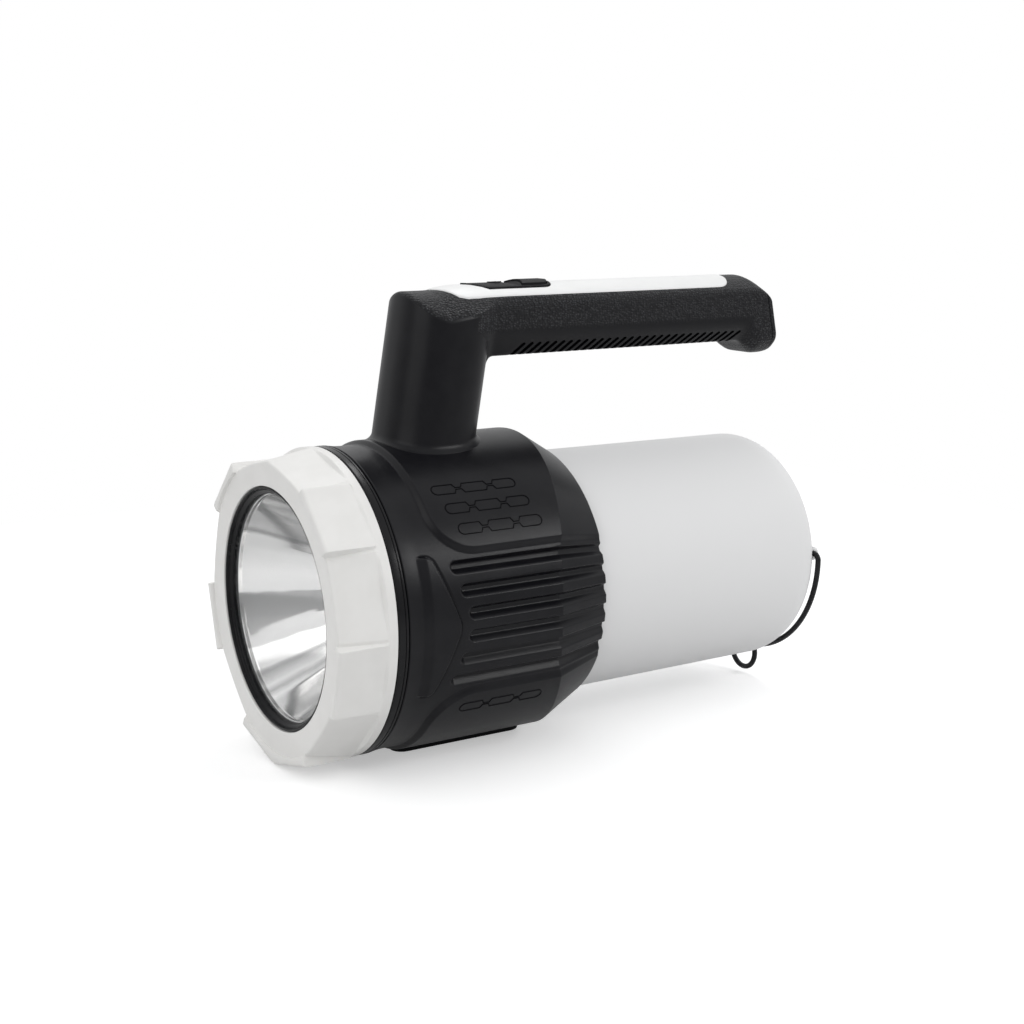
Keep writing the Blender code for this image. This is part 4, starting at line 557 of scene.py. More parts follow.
# %% Tubes
def tube(bm, points, radius, side, sides=8):
    """A tube along points that lie about in one plane; side is the direction square to that plane."""
    rings = []
    for i, point in enumerate(points):
        along = (points[min(i + 1, len(points) - 1)] - points[max(i - 1, 0)]).normalized()
        up = along.cross(side)
        rings.append([point + (side * math.cos(t) + up * math.sin(t)) * radius for t in even_turn(sides)])
    capped_skin(bm, rings)


print("tubes ready")

# %% [markdown]
# A few openings can't be drawn as rings. Each is cut out with a simple body and a Boolean, and the result is
# kept as a plain mesh.

# %% Cutting
def prism(name, outline, low, high, finish):
    """An upright block over an outline of (x, station) points."""
    bm = bmesh.new()
    capped_skin(bm, [[place(x, s, z) for x, s in outline] for z in (low, high)])
    return finished(name, bm, finish)


def cut_away(target, tool, sharp):
    modifier = target.modifiers.new("cut", "BOOLEAN")
    modifier.operation = "DIFFERENCE"
    modifier.object = tool
    mesh = bpy.data.meshes.new_from_object(target.evaluated_get(bpy.context.evaluated_depsgraph_get()))
    target.modifiers.clear()
    target.data = mesh
    target.data.set_sharp_from_angle(angle=math.radians(sharp))
    bpy.data.objects.remove(tool)


print("cutting ready")

# %% [markdown]
# ## Bezel
# The white front ring is a twelve-sided moulding whose flats grow towards the rear. Three raised lugs a side
# keep the light from rolling away, and behind a small ridge it turns into a plain round band. Carving this
# from a cylinder would leave long thin faces; drawing one outline per angle keeps every edge where it is.

# %% Rules of the bezel
SIDE = 2 * math.pi / SIDES
BAND_R = 58.9 * MM
VALLEY_FLAT_R = (54.2 * MM, 57.2 * MM)
VALLEY_ROUND_R = 55.1 * MM
VALLEY_ROUNDNESS = 0.4
RIDGE_RUN = 1.3 * MM
LUG_LIMIT_R = 59.75 * MM
BAND_START = 17 * MM
VALLEY_FRONT = -0.4 * MM
LUG_FRONT = -1.7 * MM
LUG_SIDES = (1, 3, 5)
LUG_INSET = 1.1 * MM


def flat_sided(angle, flat_r):
    return flat_r / math.cos(angle % SIDE - SIDE / 2)


def lug_share(angle):
    """1 on a lug, 0 beside it, with steep rounded sides; a lug is a little narrower than its flat."""
    index = min(int(angle / SIDE), SIDES // 2 - 1)
    if index not in LUG_SIDES:
        return 0.0
    low = (angle - index * SIDE) * BAND_R - LUG_INSET
    high = ((index + 1) * SIDE - angle) * BAND_R - LUG_INSET if index < 5 else low + BAND_R
    return eased(min(low, high), 1.0 * MM, 0.45)


def bezel_outer(angle, station):
    share = ramp(station - VALLEY_FRONT, BAND_START - VALLEY_FRONT)
    valley = mix(flat_sided(angle, VALLEY_FLAT_R[0]), VALLEY_ROUND_R, VALLEY_ROUNDNESS * (1 - share))
    valley = mix(valley, flat_sided(angle, VALLEY_FLAT_R[1]), share)
    lug = min(flat_sided(angle, LUG_FLAT_R), LUG_LIMIT_R)
    radius = mix(valley, lug, lug_share(angle))
    return mix(radius, BAND_R, eased(station - BAND_START, RIDGE_RUN))


print("lug corners stop at", LUG_LIMIT_R / MM, "mm")

# %% [markdown]
# The outline runs from the band's rear forward over the flats, round the front edge, down the sloping face
# to the lens opening, and back inside. The rows crowd where the band begins, and the columns crowd at the
# corners between two flats.

# %% Bezel
BEZEL_REAR = 21.6 * MM
OPENING_R = 46 * MM
BEZEL_INNER_R = 50 * MM
STEP_R = 55.2 * MM
BEZEL_ROWS = [20.5, 19.2, 18.7, 18.4, 18.2, 18, 17.8, 17.5, 17.3, 17.1, 17, 16.8, 16, 13.5, 11, 8, 5, 3, 1.7]


def bezel_profile(angle):
    lug = lug_share(angle)
    front = mix(VALLEY_FRONT, LUG_FRONT, lug)
    rim = bezel_outer(angle, front)
    edge = mix(0.8 * MM, 1.5 * MM, lug)
    outline = bend((BEZEL_REAR, BAND_R - 0.5 * MM), (BEZEL_REAR, BAND_R), (BEZEL_REAR - 0.4 * MM, BAND_R))
    outline += [(s * MM, bezel_outer(angle, s * MM)) for s in BEZEL_ROWS]
    outline += bend((front + edge, bezel_outer(angle, front + edge)), (front, rim), (front, rim - edge))
    step = min(STEP_R, rim - 1.6 * MM)
    outline += [(front, mix(rim - edge, step + 0.5 * MM, 0.5)), (front, step + 0.5 * MM)]
    outline += [(mix(VALLEY_FRONT, front, k), step + (0.4 * k - 0.1) * MM) for k in (0.85, 0.5, 0.15, 0.0)]
    outline += [(mix(VALLEY_FRONT, 0, k), mix(step - 0.1 * MM, OPENING_R, k)) for k in (0.2, 0.4, 0.6, 0.8)]
    outline += bend((-0.03 * MM, OPENING_R + 0.5 * MM), (0, OPENING_R), (0.5 * MM, OPENING_R))
    return outline + [(2 * MM, OPENING_R), (2 * MM, BEZEL_INNER_R), (BEZEL_REAR, BEZEL_INNER_R)]


def bezel_angles():
    angles = set(spread(0, math.pi, 61))
    for corner in range(SIDES // 2 + 1):
        near = [corner * SIDE + offset * MM / BAND_R for offset in spread(-2.2, 2.2, 23)]
        angles.update(angle for angle in near if 0 <= angle <= math.pi)
    return both_sides(angles)


bezel_skin = report(wrapped("bezel_skin", bezel_angles(), bezel_profile, bezel_white, 50))
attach(bezel_skin, "lamp")
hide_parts("front_bezel")

# %% [markdown]
# ## Collar, gasket and lens
# A glossy black ring fills the joint between bezel and housing, and a rubber funnel holds the lens, a thin
# dished sheet, in the bezel's opening. All are plain turned parts, so one outline each is turned round the
# axis. The lens's outline starts and ends on the axis, which closes it.

# %% Collar, gasket and lens
collar_outline = bend(*in_mm((21.9, 58.0), (21.9, 58.75), (22.6, 58.75)))
collar_outline += in_mm((24.5, 58.75), (24.6, 58.5), (24.8, 58.5), (24.9, 58.75))
collar_outline += bend(*in_mm((25.4, 58.8), (26.0, 58.8), (26.0, 58.1)))
collar_outline += in_mm((26.0, 50.0), (21.9, 50.0))
collar = report(turned("collar", collar_outline, collar_black, 192))
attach(collar, "lamp")
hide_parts("collar_ring")

funnel_outline = bend(*in_mm((0.5, 45.0), (0.35, 45.75), (1.2, 45.75)))
funnel_outline += in_mm((2.3, 45.75), (2.3, 49.5), (6.2, 49.5), (6.2, 44.6), (3.75, 44.6), (3.75, 43.0))
funnel_outline += bend(*in_mm((3.0, 43.0), (2.4, 43.05), (2.3, 43.6)))
funnel_outline += bend(*in_mm((1.9, 44.3), (1.75, 44.5), (1.2, 44.55)))
lens_funnel = report(turned("lens_funnel", funnel_outline, gasket_rubber, 192))
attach(lens_funnel, "lamp")
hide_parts("lens_gasket")

lens_outline = in_mm(*((3.9 - 0.9 * (1 - (r / 42.5) ** 2), r) for r in spread(0, 42.5, 18)))
lens_outline += in_mm((3.9, 44.3), (4.5, 44.3), (4.5, 42.35), (6.1, 42.3), (6.1, 0.0))
clear_lens = report(turned("clear_lens", lens_outline, lens_clear, 144))
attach(clear_lens, "lamp")
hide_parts("front_lens")

# %% [markdown]
# ## Reflector
# The bowl throws the light of one small chip forward. It is a parabola made of eight panels, each curved
# from mouth to throat and flatter across than a round bowl, so a soft ridge shows where two meet. The mouth
# itself is round, so the flatness grows from the rim inwards. It stops short of flat, because flat panels
# mirror a lamp as one hard patch.

# %% Reflector
PANELS = 8
PANEL_FLATNESS = 0.6
FLATNESS_RUN = 0.7
THROAT_R = 8.0 * MM
MOUTH_R = 42.6 * MM
BOWL_FRONT = 6.4 * MM
BOWL_DEPTH = 39.0 * MM
BOWL_WALL = 1.2 * MM
BOWL_ROWS = [0, 0.01, 0.02, 0.04, 0.06, 0.09, 0.13, 0.18, 0.24, 0.3, 0.38, 0.46, 0.55, 0.65, 0.75, 0.85,
             0.93, 1.0]
BOWL_RIM = [(8.0, 43.8), (8.0, 49.7), (6.4, 49.7), (6.4, 43.9), (5.0, 43.9), (4.8, 43.5), (4.8, 42.95),
            (5.0, 42.7), (6.3, 42.7)]


def bowl_ring(share, offset, angles):
    side = 2 * math.pi / PANELS
    radius = mix(THROAT_R, MOUTH_R, math.sqrt(1 - share))
    station = BOWL_FRONT + BOWL_DEPTH * share
    ring = []
    for angle in angles:
        from_middle = (angle + side / 2) % side - side / 2
        flat = math.cos(side / 2) / math.cos(from_middle)
        flat = mix(1.0, flat, PANEL_FLATNESS * ramp(share, FLATNESS_RUN))
        ring.append(around(angle, station, radius * flat + offset))
    return ring


def bowl():
    """The inner wall from mouth to throat, the outer wall back, and the flange and bead at the mouth."""
    angles = even_turn(16 * PANELS)
    rings = [bowl_ring(share, 0, angles) for share in BOWL_ROWS]
    rings += [bowl_ring(share, BOWL_WALL, angles) for share in reversed(BOWL_ROWS[4:])]
    rings += [[around(a, s, r) for a in angles] for s, r in in_mm(*BOWL_RIM)]
    bm = bmesh.new()
    skin(bm, rings, True)
    return finished("mirror_bowl", bm, mirror_film_and_painted_reflections, 20)


mirror_bowl = report(bowl())
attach(mirror_bowl, "lamp")
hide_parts("reflector")

# %% [markdown]
# ## Housing
# The black body carries all the relief: raised saddles above and below with a soft bevelled edge, an
# arrow-shaped pad on each side, and six cooling grooves with round ends behind it. Each of these is a rule
# that says how much a point of the skin rises or sinks. The skin is a fine grid wrapped round the axis, and
# the rules move its points, which gives the soft edges of a moulding without a single Boolean.

# %% Saddles
HOUSING_R = 58.0 * MM
FRONT = 26.3 * MM
REAR = 115.1 * MM
SADDLE_HALF = math.radians(65) * HOUSING_R
SADDLE_CORNER = 18.0 * MM
SADDLE_FRONT = FRONT + 13 * MM
SADDLE_LIFT = 1.6 * MM
SADDLE_SLOPE = 2.4 * MM


def saddle_depth(angle, station):
    """How far a point lies inside a saddle's outline, which has round corners; negative outside."""
    folded = min(angle, math.pi - angle)
    across = folded * HOUSING_R - (SADDLE_HALF - SADDLE_CORNER)
    back = SADDLE_FRONT + SADDLE_CORNER - station
    outside = math.hypot(max(across, 0), max(back, 0))
    return SADDLE_CORNER - outside - min(max(across, back), 0)


print("saddle edge at", round(math.degrees(SADDLE_HALF / HOUSING_R)), "degrees")

# %% [markdown]
# A groove has a steep wall above, a long gentle one below and a round front end. The middle ones begin
# further back, behind the arrow's point.

# %% Grooves
GROOVES = 6
GROOVE_PITCH = math.radians(8.5)
GROOVE_ABOVE = 2.5 * MM
GROOVE_BELOW = 3.0 * MM
GROOVE_FRONT = FRONT + 28.4 * MM
GROOVE_STAGGER = 2.8 * MM
GROOVE_ROUND = 2.6 * MM
GROOVE_WALLS = (1.25 * MM, 2.75 * MM)
GROOVE_DEPTHS = (2.6 * MM, 1.5 * MM)


def groove_share(angle, station):
    """0 beside the grooves, 1 on a groove's floor, and in between on its walls."""
    best = 0.0
    for index in range(GROOVES):
        offset = index - (GROOVES - 1) / 2
        across = (angle - math.pi / 2 - offset * GROOVE_PITCH) * HOUSING_R
        half = GROOVE_BELOW if across > 0 else GROOVE_ABOVE
        if abs(across) > half:
            continue
        ahead = max(GROOVE_FRONT - GROOVE_STAGGER * abs(offset) - station, 0)
        far = math.hypot(across / half, ahead / GROOVE_ROUND)
        turn = across / max(math.hypot(across, ahead), 1e-9)
        wall = mix(*GROOVE_WALLS, (1 + turn) / 2)
        best = max(best, eased((1 - far) * half, wall, 0.25))
    return best


print("grooves reach over", round(math.degrees(GROOVE_PITCH * (GROOVES - 1)), 1), "degrees")

# %% [markdown]
# The arrow pad is a five-sided outline with rounded corners. Its front edge rises slowly, the others are
# steep, and a fine channel runs just outside them.

# %% Arrow pad
ARROW_HALF = math.radians(26) * HOUSING_R
ARROW_ROUND = 2.2 * MM
ARROW_LIFT = 1.2 * MM
ARROW_FRONT_SLOPE = 4.2 * MM
ARROW_SIDE_SLOPE = 0.8 * MM
CHANNEL_DEPTH = 0.45 * MM
CHANNEL_HALF = 0.45 * MM
CHANNEL_AWAY = 0.35 * MM


def arrow_lines():
    """The pad's edges, each as a point on it and the direction to the inside; the front edge is first."""
    outline = [(-ARROW_HALF, 5.7), (ARROW_HALF, 5.7), (ARROW_HALF, 11.8), (0, 21.8), (-ARROW_HALF, 11.8)]
    corners = [Vector((math.pi / 2 * HOUSING_R + u, FRONT + s * MM)) for u, s in outline]
    lines = []
    for a, b in zip(corners, corners[1:] + corners[:1]):
        run = (b - a).normalized()
        lines.append((a, Vector((-run.y, run.x))))
    return lines


ARROW_LINES = arrow_lines()


def arrow_inside(angle, station):
    """Distance to the pad's rounded outline, positive inside, and the distance to its front edge."""
    point = Vector((angle * HOUSING_R, station))
    inner = [(point - p).dot(n) for p, n in ARROW_LINES]
    corner = [max(ARROW_ROUND - d, 0) for d in inner]
    if sum(c > 0 for c in corner) > 1:
        return ARROW_ROUND - math.sqrt(sum(c * c for c in corner)), inner[0]
    return min(inner), inner[0]


def arrow_relief(angle, station):
    """Height over the skin: the pad inside, and the channel outside it. Far away nothing is worked out."""
    if station > FRONT + 25 * MM or abs(angle - math.pi / 2) * HOUSING_R > ARROW_HALF + 3 * MM:
        return 0.0
    edge, front = arrow_inside(angle, station)
    if edge < 0:
        channel = max(1 - abs(edge + CHANNEL_AWAY) / CHANNEL_HALF, 0)
        return -CHANNEL_DEPTH * channel * ramp(front, 2 * MM)
    return ARROW_LIFT * min(eased(front, ARROW_FRONT_SLOPE, 0.25), eased(edge, ARROW_SIDE_SLOPE, 0.4))


print("the pad has", len(ARROW_LINES), "edges")

# %% [markdown]
# The rules add up to one radius for each angle and station. The body flares a little to the collar in front
# and narrows behind, over a long way at the sides and a short one above and below.

# %% The housing's outer surface
FLARE = 0.8 * MM
FLARE_RUN = 8 * MM
TAPER_SIDE = 24.1 * MM
TAPER_TOP = 11.6 * MM
REAR_R = 51.6 * MM
REAR_SADDLE_LIFT = 0.6 * MM


def taper_run(angle):
    return mix(TAPER_SIDE, TAPER_TOP, math.cos(angle) ** 2)


def housing_outer(angle, station):
    saddle = eased(saddle_depth(angle, station), SADDLE_SLOPE, 0.22)
    flare = FLARE * (1 - ramp(station - FRONT, FLARE_RUN)) ** 2
    radius = HOUSING_R + flare + SADDLE_LIFT * saddle
    run = taper_run(angle)
    taper = max(station - (REAR - run), 0) / run
    radius = mix(radius, REAR_R + REAR_SADDLE_LIFT * saddle, taper)
    depth = mix(*GROOVE_DEPTHS, ramp(station - (REAR - TAPER_SIDE), TAPER_SIDE))
    return radius + arrow_relief(angle, station) - depth * groove_share(angle, station)


print("radius above and at the side:", [round(housing_outer(a, 0.06) / MM, 2) for a in (0, math.pi / 2)])

# %% [markdown]
# The grid is finest over the grooves and the pad. Its last rows follow the edge where the body begins to
# narrow, so that it stays a crisp line.

# %% Housing skin
BARREL_ROWS = [26.3, 26.5, 26.8, 27.4, 28.2, 29.2] + spread(30, 49, 56) + spread(49.5, 67, 34)
BARREL_ROWS += spread(68.5, 88, 8)
BARREL_INNER = [(115.1, 49.6), (114.8, 49.3), (97.0, 49.3), (97.0, 44), (94.1, 44), (94.1, 53), (32, 53),
                (28, 46.5), (8.3, 46.5), (8.3, 49.7), (26.3, 49.7)]
BARREL_ARCS = ((0, 38, 20), (38, 61, 40), (61, 119, 175), (119, 142, 40), (142, 180, 20))


def barrel_angles():
    angles = []
    for low, high, count in BARREL_ARCS:
        angles += spread(math.radians(low), math.radians(high), count)
    angles.sort()
    return both_sides([a for before, a in zip([-1.0] + angles, angles) if a - before > 1e-6])


def rear_rows(angle):
    edge = (REAR - taper_run(angle)) / MM
    return spread(89, edge - 0.3, 5) + [edge, edge + 0.3] + spread(edge + 1.5, 114.3, 9) + [114.7]


def barrel_profile(angle):
    outline = [(s * MM, housing_outer(angle, s * MM)) for s in BARREL_ROWS + rear_rows(angle)]
    outline[0] = (outline[0][0], outline[0][1] - 0.25 * MM)
    outer = housing_outer(angle, REAR)
    outline += bend(outline[-1], (REAR, outer), (REAR, outer - 0.4 * MM), 3)[1:]
    return outline + in_mm(*BARREL_INNER)


barrel_relief = report(wrapped("barrel_relief", barrel_angles(), barrel_profile, housing_black, 60))
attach(barrel_relief, "lamp")
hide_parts("housing")

# %% [markdown]
# ## Post and head
# A soft-square post grows out of the saddle with a small fillet, leans back, and ends in a crowned roof
# whose edge is a rounded crease. The roof and the grip's top share one crown, which bows down a little
# towards the tip of the white strip that lies on it.

# %% Crown and roof
HANDLE_TOP = 117.0 * MM
STRIP_TIP = 67.6 * MM
STRIP_HALF = 12.6 * MM
PAD_TIP = 81.4 * MM
CROWN_DROP = 4.1 * MM
TIP_DIP = 1.5 * MM
ROOF_UNDER_STRIP = 0.35 * MM
ROOF_SIDE_X = 12.2 * MM
ROOF_SIDE_Z = 113.0 * MM
ROOF_SIDE_SLOPE = 0.95
RIDGE_ROUND = 1.2 * MM


def tip_dip(station):
    return TIP_DIP * (1 - ramp(station - STRIP_TIP, PAD_TIP - STRIP_TIP)) ** 2


def crown(x, station=PAD_TIP):
    """Height of the handle's top, which is the strip's upper face."""
    return HANDLE_TOP - CROWN_DROP * (x / STRIP_HALF) ** 2 - tip_dip(station)


def roof_height(x, station):
    """The roof lies just under the strip in the middle and slopes down to the crease at the sides."""
    middle = crown(x, station) - ROOF_UNDER_STRIP
    slope = ROOF_SIDE_Z - ROOF_SIDE_SLOPE * (abs(x) - ROOF_SIDE_X) - tip_dip(station)
    return -smooth_max(-middle, -slope, RIDGE_ROUND)


print("the strip's edge lies", round((HANDLE_TOP - crown(STRIP_HALF)) / MM, 2), "mm under its middle")

# %% [markdown]
# The post is drawn as rings: fillet rings that follow the curved saddle, wall rings, the rounds of the
# crease, and roof rings that shrink to the middle. Its roof carries the grip's leather grain.

# %% Post and head
POST_STATION = 69.8 * MM
GRIP_BOTTOM = 89.7 * MM
POST_HALF = 18.9 * MM
POST_LEAN = 0.168
POST_COUNT = 120
POST_POWER = 0.8
FILLET = 2.6 * MM
FILLET_ROWS = (-2.5, 0.0, 0.12, 0.3, 0.6, 1.0, 1.5, 2.0, 2.6)
CREASE = 1.7 * MM
ROOF_SCALES = (0.9, 0.78, 0.64, 0.5, 0.36, 0.22, 0.1, 0.0)
ROOF_LOWEST = 100 * MM
ROOF_FACING_UP = 0.42


def post_middle(z):
    return POST_STATION + (z - GRIP_BOTTOM) * POST_LEAN


def post_outline(grow, scale=1.0):
    """A soft square of (x, distance behind the post's middle)."""
    size = (POST_HALF + grow) * scale
    corners = [(math.cos(turn), math.sin(turn)) for turn in even_turn(POST_COUNT)]
    return [tuple(math.copysign(abs(v) ** POST_POWER, v) * size for v in corner) for corner in corners]


def saddle_height(x):
    return math.sqrt((HOUSING_R + SADDLE_LIFT) ** 2 - x ** 2)


def head_top(x, along):
    height = roof_height(x, POST_STATION + along + 4 * MM)
    return roof_height(x, post_middle(height) + along)


def post_rings():
    rings = []
    for lift in FILLET_ROWS:
        grow = FILLET * quarter_arc(lift * MM, FILLET)
        rings.append([(x, a, saddle_height(x) + lift * MM) for x, a in post_outline(min(grow, 2.0 * MM))])
    wall = [(x, a, saddle_height(x) + FILLET, head_top(x, a) - CREASE) for x, a in post_outline(0)]
    for share in spread(0, 1, 9)[1:]:
        rings.append([(x, a, mix(low, high, share)) for x, a, low, high in wall])
    for t in spread(0, math.pi / 2, 7)[1:]:
        edge = post_outline(-CREASE * (1 - math.cos(t)))
        rings.append([(x, a, head_top(x, a) - CREASE * (1 - math.sin(t))) for x, a in edge])
    for scale in ROOF_SCALES:
        rings.append([(x, a, head_top(x, a)) for x, a in post_outline(-CREASE, scale)])
    return [[place(x, post_middle(z) + a, z) for x, a, z in ring] for ring in rings]


def post_and_head():
    bm = bmesh.new()
    bm.faces.new(skin(bm, post_rings())[0])
    made = finished("post_and_head", bm, housing_black, 60)
    made.data.materials.append(grip_texture)
    for face in made.data.polygons:
        if face.normal.z > ROOF_FACING_UP and face.center.z > ROOF_LOWEST + REST_HEIGHT:
            face.material_index = 1
    return made


post = report(post_and_head())

# %% [markdown]
# ## Grip
# The grip is a bar with a flat belly, sloped lower sides, straight sides and a crowned top. It swells into
# the post with a hollow curve, hooks down at its end to stop the hand, and its end leans and rounds over.
# Sections are drawn across it, with rounds at their corners, and each point stops at the leaning end.

# %% Sections of the grip
GRIP_HALF = 15.2 * MM
GRIP_START = 76 * MM
GRIP_END = 228.3 * MM
GRIP_MIDDLE = 103.9 * MM
HOOK_START = 209.5 * MM
HOOK_RUN = 10 * MM
HOOK_DROP = 5.9 * MM
END_LEAN = 0.2
TOP_POINTS = (13.2, 12.4, 10, 8, 6, 4, 2, 0)


def end_station(z):
    return GRIP_END - (z - GRIP_BOTTOM) * END_LEAN


def corner_round(before, corner, after, radius, steps):
    a = Vector(corner) + (Vector(before) - Vector(corner)).normalized() * radius
    b = Vector(corner) + (Vector(after) - Vector(corner)).normalized() * radius
    return [Vector(p) for p in bend(tuple(a), corner, tuple(b), steps)]


def grip_section(station):
    """One section, from the middle of the belly up the right side, over the top and down the left."""
    share = ramp(station - POST_STATION, HOOK_START - POST_STATION)
    hook = 0.5 - 0.5 * math.cos(math.pi * ramp(station - HOOK_START, HOOK_RUN))
    bottom = GRIP_BOTTOM - HOOK_DROP * hook
    belly = mix(9.6, 9.2, hook) * MM
    low = mix(GRIP_BOTTOM + mix(8.7, 6.7, share) * MM, bottom + 6.2 * MM, hook)
    high = HANDLE_TOP - mix(8.6, 6.0, share) * MM
    top = [(x * MM, crown(x * MM) - 0.3 * MM) for x in TOP_POINTS]
    corners = [(0.0, bottom), (belly, bottom), (GRIP_HALF, low), (GRIP_HALF, high), top[0], top[1]]
    rounds = ((mix(1.2, 3.8, hook), 5), (mix(2.6, 3.6, hook), 6), (1.8, 6), (0.7, 3))
    right = [Vector((x * MM, bottom)) for x in (0, 2, 4)]
    for i, (radius, steps) in enumerate(rounds):
        right += corner_round(corners[i], corners[i + 1], corners[i + 2], radius * MM, steps)
        if i == 1:
            right.append(Vector((GRIP_HALF, (low + high) / 2)))
    right += [Vector(p) for p in top[2:]]
    return right + [Vector((-p.x, p.y)) for p in reversed(right[1:-1])]


print("points in a section:", len(grip_section(0.1)))

# %% [markdown]
# Where the bar meets the post its skin flows into the post's: the sides swell to the post's width with a
# hollow curve, the upper slopes run out on the roof, and a hollow round fills the corner underneath. At the
# far end the top rolls over and the lower edge is rounded. All of this only moves the sections' points.

# %% Flow into the post and round end
FLOW_ROUND = 5 * MM
FLOW_HOLLOW = 3.2 * MM
FLOW_TOP = 104 * MM
START_SUNK = 0.3 * MM
START_RUN = 7 * MM
ROOF_FLOW = (82 * MM, 15 * MM)
ROOF_OVER = 0.12 * MM
ROOF_SUNK = 0.5 * MM
ROOF_SUNK_RUN = 8 * MM
ROLL_RUN = 9 * MM
ROLL_POWER = 2.3
END_RISE = 1.9 * MM
END_RISE_RUN = 6 * MM
END_ROUND = 1.2 * MM
SEAM_DEPTH = 0.4 * MM
SEAM_HALF = 0.35 * MM
SEAM_LEFT = 2.6 * MM


def post_width(back):
    """Half width of the post at a distance behind its middle."""
    share = min(abs(back), POST_HALF) / POST_HALF
    return POST_HALF * max(1 - share ** (2 / POST_POWER), 0) ** (POST_POWER / 2)


def at_post(x, station, z):
    """Moves a point of the grip so that the skin flows into the post's."""
    wide = post_width(station - post_middle(min(z, FLOW_TOP)))
    sunk = START_SUNK * (1 - ramp(station - GRIP_START, START_RUN))
    x = x * (smooth_max(GRIP_HALF, wide, FLOW_ROUND) - sunk) / GRIP_HALF
    if z > GRIP_MIDDLE:
        sunk = ROOF_SUNK * (1 - ramp(station - GRIP_START, ROOF_SUNK_RUN))
        on_roof = roof_height(x, station) + ROOF_OVER - sunk
        t = 1 - ramp(station - ROOF_FLOW[0], ROOF_FLOW[1])
        z = mix(z, on_roof, t * t * (3 - 2 * t) * ramp(z - GRIP_MIDDLE, 2 * MM))
    behind = station - post_middle(GRIP_BOTTOM) - post_width(min(abs(x), POST_HALF))
    hollow = FLOW_HOLLOW * quarter_arc(behind, FLOW_HOLLOW)
    return place(x, station, z - hollow * ramp(GRIP_BOTTOM + 6 * MM - z, 6 * MM))


def at_end(x, left, z):
    """Squeezes the section towards the end: left is the distance still to go."""
    if z > GRIP_MIDDLE:
        roll = (1 - (1 - ramp(left, ROLL_RUN)) ** ROLL_POWER) ** (1 / ROLL_POWER)
        z = GRIP_MIDDLE + (z - GRIP_MIDDLE) * roll
    rise = END_RISE * quarter_arc(left, END_RISE_RUN)
    z += rise * ramp(92 * MM - z, 6 * MM)
    tuck = END_ROUND * quarter_arc(left, END_ROUND)
    seam = SEAM_DEPTH * max(1 - abs(left - SEAM_LEFT) / SEAM_HALF, 0)
    return x * (1 - (tuck + seam) / GRIP_HALF), z


print("the post is", round(2 * post_width(0) / MM, 1), "mm wide")

# %% [markdown]
# The sections stand close together where something bends: in the flow, in the hook, at the seam of the end
# cap and in its round edge. The end itself is closed by rings that shrink to its middle.

# %% Grip skin
FLOW_ROWS = (76, 77.5, 79, 80.5, 82, 83.2, 84.4, 85.4, 86.2, 87, 87.8, 88.4, 88.8, 89.2, 89.6, 90, 90.5, 91,
             91.6, 92.4, 93.4, 94.6, 96, 98, 100.5)
END_ROWS = (11, 10, 3.4, 2.9, 2.75, 2.6, 2.45, 2.3, 1.9, 1.2, 1.0, 0.75, 0.5, 0.3, 0.15, 0.05, 0.0)
END_SCALES = (0.97, 0.9, 0.8, 0.65, 0.5, 0.35, 0.2, 0.1, 0.0)
GRIP_LENGTH = GRIP_END - GRIP_START


def distances_left():
    """Distances still to go to the grip's end, one for each section."""
    left = [GRIP_END - s * MM for s in FLOW_ROWS]
    left += spread(GRIP_LENGTH - 28 * MM, 26 * MM, 22) + spread(25 * MM, 13 * MM, 14)
    left += [ROLL_RUN * (1 - math.sin(t)) for t in spread(0, math.radians(60), 14)]
    left += [d * MM for d in END_ROWS]
    return sorted(set(round(d, 7) for d in left), reverse=True)


def grip_body():
    rings = []
    for left in distances_left():
        ring = []
        for p in grip_section(GRIP_END - left):
            x, z = at_end(p.x, left, p.y)
            ring.append(at_post(x, mix(GRIP_START, end_station(z), 1 - left / GRIP_LENGTH), z))
        rings.append(ring)
    last = rings[-1]
    centre = sum(last, Vector()) / len(last)
    rings += [[centre + (p - centre) * scale for p in last] for scale in END_SCALES]
    bm = bmesh.new()
    bm.faces.new(skin(bm, rings)[0])
    return finished("grip_cover", bm, grip_texture, 60)


grip_cover = report(grip_body())

# %% [markdown]
# ## Helpers for Geometry Nodes
# Slots, chains and the dome come from Geometry Nodes trees with named inputs, so their counts and sizes can
# be changed in one place. All three end in real geometry with its finish, and it is kept as a plain mesh.

# %% Geometry Nodes helpers
def new_tree(name, inputs):
    """A tree with a mesh, the given (label, kind) pairs and a finish as inputs, and its input sockets."""
    tree = bpy.data.node_groups.new(name, "GeometryNodeTree")
    for label, kind in (("Geometry", "Geometry"), *inputs, ("Finish", "Material")):
        tree.interface.new_socket(label, in_out="INPUT", socket_type="NodeSocket" + kind)
    tree.interface.new_socket("Geometry", in_out="OUTPUT", socket_type="NodeSocketGeometry")
    return tree, node(tree, "NodeGroupInput").outputs


def ended(tree, geometry, given):
    """Every tree ends the same way: real geometry, then its finish."""
    real = node(tree, "GeometryNodeRealizeInstances", None, (geometry,))
    dressed = node(tree, "GeometryNodeSetMaterial", Geometry=real.outputs[0], Material=given["Finish"])
    node(tree, "NodeGroupOutput", None, (dressed.outputs[0],))
    return tree


def grown(name, tree, mesh, values):
    """Runs a tree on a mesh and keeps the result as a plain mesh."""
    made = bpy.data.objects.new(name, mesh)
    bpy.context.collection.objects.link(made)
    modifier = made.modifiers.new(name, "NODES")
    modifier.node_group = tree
    for item in tree.interface.items_tree:
        if item.in_out == "INPUT" and item.name in values:
            modifier[item.identifier] = values[item.name]
    graph = bpy.context.evaluated_depsgraph_get()
    result = bpy.data.meshes.new_from_object(made.evaluated_get(graph))
    made.modifiers.clear()
    made.data = result
    return report(made)


